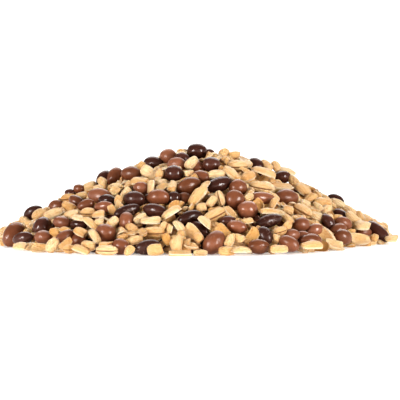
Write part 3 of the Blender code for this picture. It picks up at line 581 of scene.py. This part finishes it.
def place_piece(name, mesh, material):
    """A piece of the heap in the scene, riding on its body in place of the heap's plain solid."""
    mesh.materials.append(material)
    piece = bpy.data.objects.new(name, mesh)
    bpy.context.scene.collection.objects.link(piece)
    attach(piece, "root")
    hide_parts("heap")


def mesh_of(name, corners, quads, triangles):
    """A smooth mesh from arrays of corners, four-sided faces and three-sided faces."""
    mesh = bpy.data.meshes.new(name)
    loops = np.concatenate([quads.ravel(), triangles.ravel()]).astype(np.int32)
    sides = np.concatenate([np.full(len(quads), 4), np.full(len(triangles), 3)])
    starts = np.concatenate([[0], np.cumsum(sides)[:-1]]).astype(np.int32)
    mesh.vertices.add(len(corners))
    mesh.vertices.foreach_set("co", corners.astype(np.float32).ravel())
    mesh.loops.add(len(loops))
    mesh.loops.foreach_set("vertex_index", loops)
    mesh.polygons.add(len(sides))
    mesh.polygons.foreach_set("loop_start", starts)
    mesh.update(calc_edges=True)
    mesh.validate()
    mesh.shade_smooth()
    return mesh


def ring_faces(rings, sides, last):
    """Four-sided faces between rings of corners, and fans from the first corner and from the last."""
    i = np.arange(sides)
    j = (i + 1) % sides
    starts = 1 + sides * np.arange(rings - 1)[:, None]
    quads = np.stack([starts + i, starts + j, starts + sides + j, starts + sides + i], -1).reshape(-1, 4)
    edge = 1 + sides * (rings - 1)
    first_fan = np.stack([0 * i, 1 + j, 1 + i], -1)
    last_fan = np.stack([0 * i + last, edge + i, edge + j], -1)
    return quads, np.concatenate([first_fan, last_fan])


def inner_body():
    """Rings from the middle to the foot at the depth where the layers start, lumpy by crossed sine waves.

    The last ring lies straight below on the floor, and a fan to the middle closes it. The rings run
    the other way round than a piece's, so their faces are turned over.
    """
    angle = np.arange(CORE_SIDES) * 2 * np.pi / CORE_SIDES
    share = np.linspace(0, 1, CORE_RINGS + 1)[1:, None]
    reach = (outline(angle) - CORE_INSET)[None, :]
    x = share * reach * np.cos(angle)
    y = share * reach * np.sin(angle)
    wave = 2 * np.pi / LUMP_SIZE
    bent = LUMP_SWAY * np.sin(LUMP_BENDS[0] * y), LUMP_SWAY * np.sin(LUMP_BENDS[1] * x)
    lumps = np.sin(wave * x + bent[0]) * np.sin(wave * y + bent[1])
    z = np.maximum(surface(x, y) - SHELL_DEPTH + CORE_COVER + LUMP_HEIGHT * lumps, CORE_COVER)
    rings = np.stack([x, y, z], -1).reshape(-1, 3)
    foot = np.stack([x[-1], y[-1], 0 * x[-1]], -1)
    summit = [[0.0, 0.0, HEAP_HEIGHT - SHELL_DEPTH]]
    corners = np.concatenate([summit, rings, foot, [[0.0, 0.0, 0.0]]])
    quads, fans = ring_faces(CORE_RINGS + 1, CORE_SIDES, len(corners) - 1)
    return mesh_of("inner_mix", corners, quads[:, [0, 3, 2, 1]], fans[:, [0, 2, 1]])


def shaded_mix():
    """Nuts and chocolate deep in the heap: warm brown blotches as large as the pieces, dull."""
    material, tree, coordinates = new_material("shaded nuts and chocolate")
    blotches, grain = [
        add_node(tree, "ShaderNodeTexNoise", {
            "Vector": coordinates, "Scale": 1 / size, "Detail": detail}).outputs["Fac"]
        for size, detail in ((MIX_BLOTCH, 2.0), (MIX_GRAIN, 4.0))]
    colour = add_node(tree, "ShaderNodeValToRGB", {"Fac": blotches}, stops=MIX_SHADES).outputs["Color"]
    bump = add_node(tree, "ShaderNodeBump", {"Height": grain, "Strength": 0.7, "Distance": 0.0009})
    finish_material(tree, {"Base Color": colour, "Roughness": 0.7, "Normal": bump.outputs["Normal"]})
    return material


place_piece("inner_mix", inner_body(), shaded_mix())


# Milk chocolate pieces
# Roasted nuts and crisp centres tumbled in milk chocolate until they are round or oval, then glazed.
# The coating is slightly lumpy and has a soft gloss, with a warm red-brown colour.
ROUND_RINGS = 9
ROUND_SIDES = 14
END_REACH = 0.28
SHARP_DEGREES = 46
FLOOR_CLEARANCE = 0.0002
ROUND_POWER = 0.90
POINTED_RATE = 2.5
TWO_LUMPS = 0.05
THREE_LUMPS = 0.045
MILK_POINTED = 1.08
MILK_ROUGHNESS = 0.23
MILK_BLOOM_AND_SHEEN = 0.20
MILK_SHADES = [(0.2, "#6F452E"), (0.5, "#84553D"), (0.8, "#98674F")]
CLOUD_SIZE = 0.005
BLOOM_AND_SHEEN_SIZE = 0.0022
# Pale blotches on a few pieces: partly bloom, partly a painted sheen.
BLOOM_AND_SHEEN_COLOUR = "#9A8378"
RIPPLE_SIZE = 0.0030
PIT_SIZE = 0.0008
COATING_RELIEF = 0.0006


def joined(name, pieces, shape, rings, sides, seed):
    """One mesh of many pieces. shape gives each one's corners in half lengths, widths and thicknesses.

    Each piece's corners are scaled to its size, turned along its axes and moved to its place. The mesh
    keeps three tones from 0 to 1 for each piece, and for each corner its place along the piece and the
    cosine and sine of its angle round it.
    """
    rng = np.random.default_rng(seed)
    sizes = np.array([piece.sizes for piece in pieces])[:, None, :]
    turns = np.array([piece.turn for piece in pieces])
    places = np.array([piece.place for piece in pieces])[:, None, :]
    around, turn = np.meshgrid(np.linspace(0, np.pi, rings + 2)[1:-1],
                               np.arange(sides) * 2 * np.pi / sides, indexing="ij")
    local = shape(rng, len(pieces), around[None], turn[None]).reshape(len(pieces), rings, sides, 3)
    middles = local.mean(axis=2)
    tips = [middles[:, 0] + END_REACH * (middles[:, 0] - middles[:, 1]),
            middles[:, -1] + END_REACH * (middles[:, -1] - middles[:, -2])]
    local = np.concatenate([tips[0][:, None], local.reshape(len(pieces), -1, 3), tips[1][:, None]], axis=1)
    corners = places + np.einsum("kij,knj->kni", turns, local * sizes)
    corners[..., 2] = np.maximum(corners[..., 2], FLOOR_CLEARANCE)
    count = local.shape[1]
    quads, fans = ring_faces(rings, sides, count - 1)
    shift = count * np.arange(len(pieces))[:, None, None]
    mesh = mesh_of(name, corners.reshape(-1, 3), (quads + shift).reshape(-1, 4),
                   (fans + shift).reshape(-1, 3))
    round_piece = np.stack([-np.cos(around), np.cos(turn), np.sin(turn)], -1).reshape(-1, 3)
    round_piece = np.concatenate([[[-1.0, 0.0, 0.0]], round_piece, [[1.0, 0.0, 0.0]]])
    tones = np.repeat(rng.random((len(pieces), 3)), count, 0)
    for attribute, rows in (("tones", tones), ("on_piece", np.tile(round_piece, (len(pieces), 1)))):
        kept = mesh.attributes.new(attribute, "FLOAT_VECTOR", "POINT")
        kept.data.foreach_set("vector", rows.astype(np.float32).ravel())
    mesh.set_sharp_from_angle(angle=np.radians(SHARP_DEGREES))
    return mesh


def coated(pointed, pieces):
    """Shape of a coated piece: a ball drawn out to its ends by a power of the sine, with shallow lumps.

    The longer a piece is for its width, the nearer its power comes to the pointed one.
    """
    sizes = np.array([piece.sizes for piece in pieces])
    drawn_out = np.clip(POINTED_RATE * (sizes[:, 0] / sizes[:, 1] - 1), 0, 1)[:, None, None]

    def shape(rng, count, around, turn):
        """Corners of each piece, in half lengths, widths and thicknesses."""
        power = ROUND_POWER + (pointed - ROUND_POWER) * drawn_out * rng.uniform(0, 1, (count, 1, 1))
        phase = rng.uniform(0, 2 * np.pi, (3, count, 1, 1))
        lump = TWO_LUMPS * np.sin(2 * turn + phase[0]) * np.sin(around)
        lump = lump + THREE_LUMPS * np.sin(3 * turn + phase[1]) * np.sin(2 * around + phase[2])
        width = np.sin(around) ** power * (1 + lump)
        length = -np.cos(around) + 0 * width
        return np.stack([length, width * np.cos(turn), width * np.sin(turn)], -1)
    return shape


def of_kind(kind):
    """The heap's pieces of a kind."""
    return [piece for piece in heap_pieces if piece.kind == kind]


def chocolate(name, shades, roughness, bloom_and_sheen_share):
    """Chocolate coating: nearly even colour, a little lighter or darker from piece to piece, soft gloss.

    Ripples of the tumbled coating and small pits break up the lights on it, more on some pieces than
    on others. A few pieces have pale blotches, partly bloom and partly a painted sheen. The pits, finer
    in truth, are 0.8 mm so that they show.
    """
    material, tree, coordinates = new_material(name)
    tones = add_node(tree, "ShaderNodeAttribute", {}, {"attribute_name": "tones"}).outputs["Vector"]
    tone = add_node(tree, "ShaderNodeSeparateXYZ", {"Vector": tones}).outputs
    clouds, blotches, ripples, pits = [
        add_node(tree, "ShaderNodeTexNoise", {
            "Vector": coordinates, "Scale": 1 / size, "Detail": detail}).outputs["Fac"]
        for size, detail in ((CLOUD_SIZE, 3.0), (BLOOM_AND_SHEEN_SIZE, 4.0), (RIPPLE_SIZE, 2.0), (PIT_SIZE, 2.0))]
    shade = add_node(tree, "ShaderNodeMath", {0: tone["X"], 1: 0.5}, {"operation": "MULTIPLY"})
    shade = add_node(tree, "ShaderNodeMath", {0: clouds, 1: 0.5, 2: shade.outputs[0]},
                     {"operation": "MULTIPLY_ADD"})
    colour = add_node(tree, "ShaderNodeValToRGB", {"Fac": shade.outputs[0]}, stops=shades)
    in_blotches, on_some, rippled, gloss = [
        add_node(tree, "ShaderNodeMapRange", {
            "Value": value, "From Min": start, "From Max": end, "To Min": low, "To Max": high},
            {"interpolation_type": "SMOOTHSTEP"}).outputs["Result"]
        for value, start, end, low, high in (
            (blotches, 0.54, 0.70, 0.0, 1.0),
            (tone["Y"], 0.80, 0.95, 0.0, bloom_and_sheen_share),
            (tone["Z"], 0.55, 0.95, 0.25, 0.75),
            (tone["Y"], 0.0, 1.0, roughness - 0.04, roughness + 0.08))]
    # Pale blotches on some pieces, partly bloom and partly a painted sheen.
    bloom_and_sheen = add_node(tree, "ShaderNodeMath", {0: in_blotches, 1: on_some}, {"operation": "MULTIPLY"})
    with_bloom_and_sheen = add_node(tree, "ShaderNodeMix", {
        "Factor": bloom_and_sheen.outputs[0], 6: colour.outputs["Color"], 7: hex_colour(BLOOM_AND_SHEEN_COLOUR)},
        {"data_type": "RGBA"})
    relief = add_node(tree, "ShaderNodeMath", {0: pits, 1: 0.12, 2: ripples},
                      {"operation": "MULTIPLY_ADD"})
    bump = add_node(tree, "ShaderNodeBump", {
        "Height": relief.outputs[0], "Distance": COATING_RELIEF, "Strength": rippled})
    finish_material(tree, {"Base Color": with_bloom_and_sheen.outputs[2], "Roughness": gloss, "IOR": 1.46,
                           "Normal": bump.outputs["Normal"]})
    return material


milk_pieces = of_kind("milk")
milk_mesh = joined("milk_chocolate_pieces", milk_pieces, coated(MILK_POINTED, milk_pieces),
                   ROUND_RINGS, ROUND_SIDES, seed=21)
milk_finish = chocolate("milk chocolate coating", MILK_SHADES, MILK_ROUGHNESS, MILK_BLOOM_AND_SHEEN)
place_piece("milk_chocolate_pieces", milk_mesh, milk_finish)


# Dark chocolate pieces
# The same centres in dark chocolate, many of them longer and pointed like almonds. The coating is
# nearly black with a slight purple cast and a glaze that shows small sharp lights. The draw that
# starts from BLOOM_AND_SHEEN_SEED gives the pale blotches, partly bloom and partly a painted sheen,
# to the four pieces at the front that have them.
DARK_POINTED = 1.30
DARK_ROUGHNESS = 0.19
DARK_BLOOM_AND_SHEEN = 0.45
DARK_SHADES = [(0.2, "#3F251C"), (0.5, "#4F3128"), (0.8, "#623E33")]
BLOOM_AND_SHEEN_SEED = 4926

dark_pieces = of_kind("dark")
dark_mesh = joined("dark_chocolate_pieces", dark_pieces, coated(DARK_POINTED, dark_pieces),
                   ROUND_RINGS, ROUND_SIDES, seed=BLOOM_AND_SHEEN_SEED)
dark_finish = chocolate("dark chocolate coating", DARK_SHADES, DARK_ROUGHNESS, DARK_BLOOM_AND_SHEEN)
place_piece("dark_chocolate_pieces", dark_mesh, dark_finish)


# Peanut halves
# Blanched peanuts split along their seam when roasted: domed outside, flat and slightly dished inside,
# with one end pointed and some ends broken off square. Cream to golden, with a dull, oily sheen.
HALF_RINGS = 7
HALF_SIDES = 12
PEANUT_SHADES = [(0.15, "#F3D8AE"), (0.5, "#EAC493"), (0.85, "#DCAA6C")]
STREAKS_ALONG_AND_ACROSS = (1.1, 4.5, 4.5)
SPOT_SIZE = 0.0035
SPECK_SIZE = 0.0011
GRAIN_SIZE = 0.0011
PEANUT_RELIEF = 0.0013
# The pale rim round a split half's flat face is a painted highlight.
PAINTED_RIM_HIGHLIGHT = ("#F3E2C6", 0.42, 0.8)


def signed_power(value, power):
    """A power of a value's size, with the value's sign."""
    return np.sign(value) * np.abs(value) ** power


def half_peanut(rng, count, around, turn):
    """Dome on one side of the flat face, a shallow hollow on the other; the width swells off the middle.

    Each end is rounded by its own power of the sine, the length is bent a little sideways, and a
    sloping plane cuts some ends off.
    """
    blunt = rng.uniform(0.30, 0.78, (2, count, 1, 1))
    swell = rng.uniform(-0.15, 0.15, (count, 1, 1))
    bend = rng.uniform(-0.13, 0.13, (count, 1, 1))
    dish = rng.uniform(0.20, 0.42, (count, 1, 1))
    boxy = rng.uniform(0.60, 0.90, (count, 1, 1))
    length = -np.cos(around) + 0 * turn + 0 * swell
    power = blunt[0] + (blunt[1] - blunt[0]) * (1 + length) / 2
    width = np.sin(around) ** power * (1 + swell * length)
    side = width * signed_power(np.cos(turn), boxy) + bend * (1 - length**2)
    sine = np.sin(turn)
    height = np.where(sine > -1e-9, width * np.abs(sine) ** boxy, dish * width * sine**6)
    phase = rng.uniform(0, 2 * np.pi, (3, count, 1, 1))
    lump = 1 + 0.08 * np.sin(3 * around + phase[0]) * np.sin(2 * turn + phase[1])
    lump = lump + 0.06 * np.sin(2 * around + phase[2])
    local = np.stack([length, side * lump, height * lump], -1)
    slope = rng.uniform(-0.7, 0.7, (count, 1, 1))
    cut = np.where(rng.random((count, 1, 1)) < 0.5, rng.uniform(0.50, 0.88, (count, 1, 1)), 2.0)
    direction = unit(np.concatenate([1 + 0 * slope, slope, 0.3 * slope], -1))[:, :, None, :]
    beyond = np.maximum((local * direction).sum(-1, keepdims=True) - cut[..., None], 0)
    return local - beyond * direction


def roasted_peanut(name, seam_and_rim_highlight_colour, seam_width, seam_share):
    """Oil-roasted blanched peanut: cream to golden clouds, with darker streaks along the kernel, satin.

    It is browner in the hollow of the flat face, which is painted shade, and at the tips and in toasted
    spots. The seam round the kernel, where its halves meet, is coloured: on split halves a pale rim,
    which is a painted highlight, and on whole kernels a thin dark line. The grain, finer in truth, is
    1.1 mm so that it shows.
    """
    material, tree, coordinates = new_material(name)
    tones, place = [
        add_node(tree, "ShaderNodeAttribute", {}, {"attribute_name": attribute}).outputs["Vector"]
        for attribute in ("tones", "on_piece")]
    tone, on_piece = [
        add_node(tree, "ShaderNodeSeparateXYZ", {"Vector": vector}).outputs for vector in (tones, place)]
    drawn_out = add_node(tree, "ShaderNodeVectorMath", {0: place, 1: STREAKS_ALONG_AND_ACROSS, 2: tones},
                         {"operation": "MULTIPLY_ADD"}).outputs["Vector"]
    streaks, clouds, spots, specks, grain = [
        add_node(tree, "ShaderNodeTexNoise", {
            "Vector": vector, "Scale": 1 / size, "Detail": detail, "Roughness": roughness}).outputs["Fac"]
        for vector, size, detail, roughness in (
            (drawn_out, 1.0, 3.0, 0.5),
            (coordinates, CLOUD_SIZE, 3.0, 0.5),
            (coordinates, SPOT_SIZE, 2.0, 0.5),
            (coordinates, SPECK_SIZE, 2.0, 0.5),
            (coordinates, GRAIN_SIZE, 4.0, 0.6))]
    along, away = [
        add_node(tree, "ShaderNodeMath", {0: value}, {"operation": "ABSOLUTE"}).outputs[0]
        for value in (on_piece["X"], on_piece["Z"])]
    shade = add_node(tree, "ShaderNodeMath", {0: tone["X"], 1: 0.55}, {"operation": "MULTIPLY"})
    shade = add_node(tree, "ShaderNodeMath", {0: clouds, 1: 0.45, 2: shade.outputs[0]},
                     {"operation": "MULTIPLY_ADD"})
    colour = add_node(tree, "ShaderNodeValToRGB", {"Fac": shade.outputs[0]}, stops=PEANUT_SHADES)
    colour = colour.outputs["Color"]
    golden, streaked, on_face, off_tips, seam_and_rim_highlight, at_tips, toasted, speckled = [
        add_node(tree, "ShaderNodeMapRange", {
            "Value": value, "From Min": start, "From Max": end, "To Min": low, "To Max": high},
            {"interpolation_type": "SMOOTHSTEP"}).outputs["Result"]
        for value, start, end, low, high in (
            (tone["Y"], 0.70, 0.95, 0.0, 0.40),
            (streaks, 0.53, 0.70, 0.0, 0.40),
            (on_piece["Z"], -0.80, -0.55, 0.40, 0.0),
            (along, 0.45, 0.80, 1.0, 0.0),
            (away, 0.02, seam_width, seam_share, 0.0),
            (along, 0.88, 1.0, 0.0, 0.35),
            (spots, 0.58, 0.78, 0.0, 0.50),
            (specks, 0.68, 0.76, 0.0, 0.60))]
    # Browner in the hollow of the flat face, away from the tips: painted shade.
    painted_hollow_shade = add_node(tree, "ShaderNodeMath", {0: on_face, 1: off_tips}, {"operation": "MULTIPLY"})
    # The seam colour gives whole kernels a dark line and split halves a pale rim, which is a painted
    # highlight.
    for share, code in (
            (golden, "#D9A355"), (streaked, "#C98A40"), (painted_hollow_shade.outputs[0], "#D6A260"),
            (seam_and_rim_highlight, seam_and_rim_highlight_colour), (at_tips, "#B98148"), (toasted, "#C98A44"), (speckled, "#A9713C")):
        colour = add_node(tree, "ShaderNodeMix", {"Factor": share, 6: colour, 7: hex_colour(code)},
                          {"data_type": "RGBA"}).outputs[2]
    relief = add_node(tree, "ShaderNodeMath", {0: streaks, 1: -0.9, 2: grain},
                      {"operation": "MULTIPLY_ADD"})
    bump = add_node(tree, "ShaderNodeBump", {
        "Height": relief.outputs[0], "Strength": 1.0, "Distance": PEANUT_RELIEF})
    finish_material(tree, {"Base Color": colour, "Roughness": 0.30, "IOR": 1.45,
                           "Subsurface Weight": 0.12, "Subsurface Radius": (0.0020, 0.0010, 0.0004),
                           "Subsurface Scale": 1.0, "Normal": bump.outputs["Normal"]})
    return material


split_finish = roasted_peanut("split roasted peanut", *PAINTED_RIM_HIGHLIGHT)
domes_up = [piece for piece in of_kind("half") if piece.turn[2, 2] > 0]
faces_up = [piece for piece in of_kind("half") if piece.turn[2, 2] <= 0]
for name, pieces, seed in (("peanut_halves_dome_up", domes_up, 31),
                           ("peanut_halves_face_up", faces_up, 32)):
    half_mesh = joined(name, pieces, half_peanut, HALF_RINGS, HALF_SIDES, seed)
    place_piece(name, half_mesh, split_finish)


# Whole peanuts
# Kernels that stayed together: two halves with a thin dark seam all round, blunt ends, and one end
# thicker than the other.
DARK_SEAM = ("#7E4C22", 0.22, 0.9)
SEAM_DEPTH = 0.11


def whole_peanut(rng, count, around, turn):
    """An oval, blunt by a power of the sine, thicker towards one end and pinched a little at the seam."""
    blunt = rng.uniform(0.70, 0.90, (count, 1, 1))
    swell = rng.uniform(-0.12, 0.12, (count, 1, 1))
    length = -np.cos(around) + 0 * turn + 0 * swell
    pinch = 1 - SEAM_DEPTH * np.cos(turn) ** 8
    width = np.sin(around) ** blunt * (1 + swell * length) * pinch
    return np.stack([length, width * np.cos(turn), width * np.sin(turn)], -1)


whole_mesh = joined("whole_peanuts", of_kind("whole"), whole_peanut, HALF_RINGS, HALF_SIDES, seed=41)
place_piece("whole_peanuts", whole_mesh, roasted_peanut("whole roasted peanut", *DARK_SEAM))


# Broken peanuts
# Chips and corners of halves, broken in roasting and pouring, with flat broken sides in the same
# cream to golden colour.
BIT_RINGS = 5
BIT_SIDES = 8
BROKEN_SIDES = 4


def broken_peanut(rng, count, around, turn):
    """A ball cut off by planes that face at random."""
    local = np.stack([-np.cos(around) + 0 * turn, np.sin(around) * np.cos(turn),
                      np.sin(around) * np.sin(turn)], -1) + np.zeros((count, 1, 1, 1))
    for _ in range(BROKEN_SIDES):
        direction = unit(rng.normal(size=(count, 1, 1, 3)))
        cut = rng.uniform(0.35, 0.75, (count, 1, 1, 1))
        local = local - np.maximum((local * direction).sum(-1, keepdims=True) - cut, 0) * direction
    return local


broken_mesh = joined("broken_peanuts", of_kind("bit"), broken_peanut, BIT_RINGS, BIT_SIDES, seed=51)
place_piece("broken_peanuts", broken_mesh, split_finish)


# Floor, light and camera
# A white acrylic sheet, faintly lit from below, in a room with bright walls. A low softbox at each side
# gives the chocolate its paired lights, and a broad ceiling light from behind makes the tops pale.
FLOOR_SIZE = 12.0
FLOOR_CLOUD = 0.3
FLOOR_SHADES = [(0.3, "#FBFBFA"), (0.7, "#FEFEFE")]
FLOOR_GLOW = 0.22
SOFTBOX_DEGREES = 45
SOFTBOX_RISE = 9
SOFTBOX_DISTANCE = 1.4
SOFTBOX_WIDTH = 0.44
SOFTBOX_HEIGHT = 0.54
SOFTBOX_AIM = 0.03
LEFT_WATTS = 10.6
RIGHT_WATTS = 11.2
CEILING_STRENGTH = 1.6
CEILING_SPREAD = 60
CEILING_TURN = (-44, 6, 0)
WALL_GLOW = 1.05
WALL_TOP = 0.10
CEILING_GLOW = 0.20
CEILING_EDGE = 0.35
SENSOR_WIDTH = 36.0


def floor_sheet():
    """A large flat square just under the heap."""
    mesh = bpy.data.meshes.new("floor")
    half = FLOOR_SIZE / 2
    corners = [(-half, -half, 0), (half, -half, 0), (half, half, 0), (-half, half, 0)]
    mesh.from_pydata(corners, [], [(0, 1, 2, 3)])
    return mesh


def lit_acrylic():
    """A matt white sheet, faintly lit from below, with large soft clouds."""
    material, tree, coordinates = new_material("white acrylic sheet")
    clouds = add_node(tree, "ShaderNodeTexNoise", {"Vector": coordinates, "Scale": 1 / FLOOR_CLOUD})
    colour = add_node(tree, "ShaderNodeValToRGB", {"Fac": clouds.outputs["Fac"]}, stops=FLOOR_SHADES)
    finish_material(tree, {"Base Color": colour.outputs["Color"], "Roughness": 0.6,
                           "Emission Color": hex_colour("#FFFFFF"), "Emission Strength": FLOOR_GLOW})
    return material


floor = bpy.data.objects.new("floor", floor_sheet())
floor.data.materials.append(lit_acrylic())
bpy.context.scene.collection.objects.link(floor)


def softbox(name, azimuth, power):
    """A flat light that faces the heap's middle. Azimuth is from the camera, to the right, in degrees."""
    light = bpy.data.lights.new(name, "AREA")
    light.shape = "RECTANGLE"
    light.size = SOFTBOX_WIDTH
    light.size_y = SOFTBOX_HEIGHT
    light.energy = power
    lamp = bpy.data.objects.new(name, light)
    turn, rise = np.radians(azimuth), np.radians(SOFTBOX_RISE)
    away = SOFTBOX_DISTANCE * np.cos(rise)
    height = SOFTBOX_AIM + SOFTBOX_DISTANCE * np.sin(rise)
    lamp.location = (away * np.sin(turn), -away * np.cos(turn), height)
    lamp.rotation_euler = (np.pi / 2 - rise, 0, turn)
    bpy.context.scene.collection.objects.link(lamp)


softbox("left_softbox", -SOFTBOX_DEGREES, LEFT_WATTS)
softbox("right_softbox", SOFTBOX_DEGREES, RIGHT_WATTS)

ceiling_light = bpy.data.lights.new("ceiling_light", "SUN")
ceiling_light.energy = CEILING_STRENGTH
ceiling_light.angle = np.radians(CEILING_SPREAD)
ceiling_lamp = bpy.data.objects.new("ceiling_light", ceiling_light)
ceiling_lamp.rotation_euler = np.radians(CEILING_TURN)
bpy.context.scene.collection.objects.link(ceiling_lamp)

world = bpy.data.worlds.new("white_room")
world.use_nodes = True
room = world.node_tree
direction = add_node(room, "ShaderNodeTexCoord", {}).outputs["Object"]
height = add_node(room, "ShaderNodeSeparateXYZ", {"Vector": direction}).outputs["Z"]
glow = add_node(room, "ShaderNodeMapRange", {
    "Value": height, "From Min": WALL_TOP, "From Max": CEILING_EDGE,
    "To Min": WALL_GLOW, "To Max": CEILING_GLOW},
    {"interpolation_type": "SMOOTHSTEP"})
room.links.new(glow.outputs["Result"], room.nodes["Background"].inputs["Strength"])
room.nodes["Background"].inputs["Color"].default_value = (1.0, 1.0, 1.0, 1.0)
bpy.context.scene.world = world
bpy.context.scene.view_settings.view_transform = "Standard"
bpy.context.scene.view_settings.look = "High Contrast"

camera = bpy.data.objects.new("camera", bpy.data.cameras.new("camera"))
camera.data.sensor_width = SENSOR_WIDTH
camera.data.lens = SENSOR_WIDTH * FOCAL_PIXELS / VIEW_PIXELS
camera.location = (0.0, -EYE_DISTANCE, EYE_HEIGHT)
camera.rotation_euler = (np.pi / 2 - np.arctan2(EYE_HEIGHT - AIM_HEIGHT, EYE_DISTANCE), 0.0, 0.0)
bpy.context.scene.collection.objects.link(camera)
bpy.context.scene.camera = camera
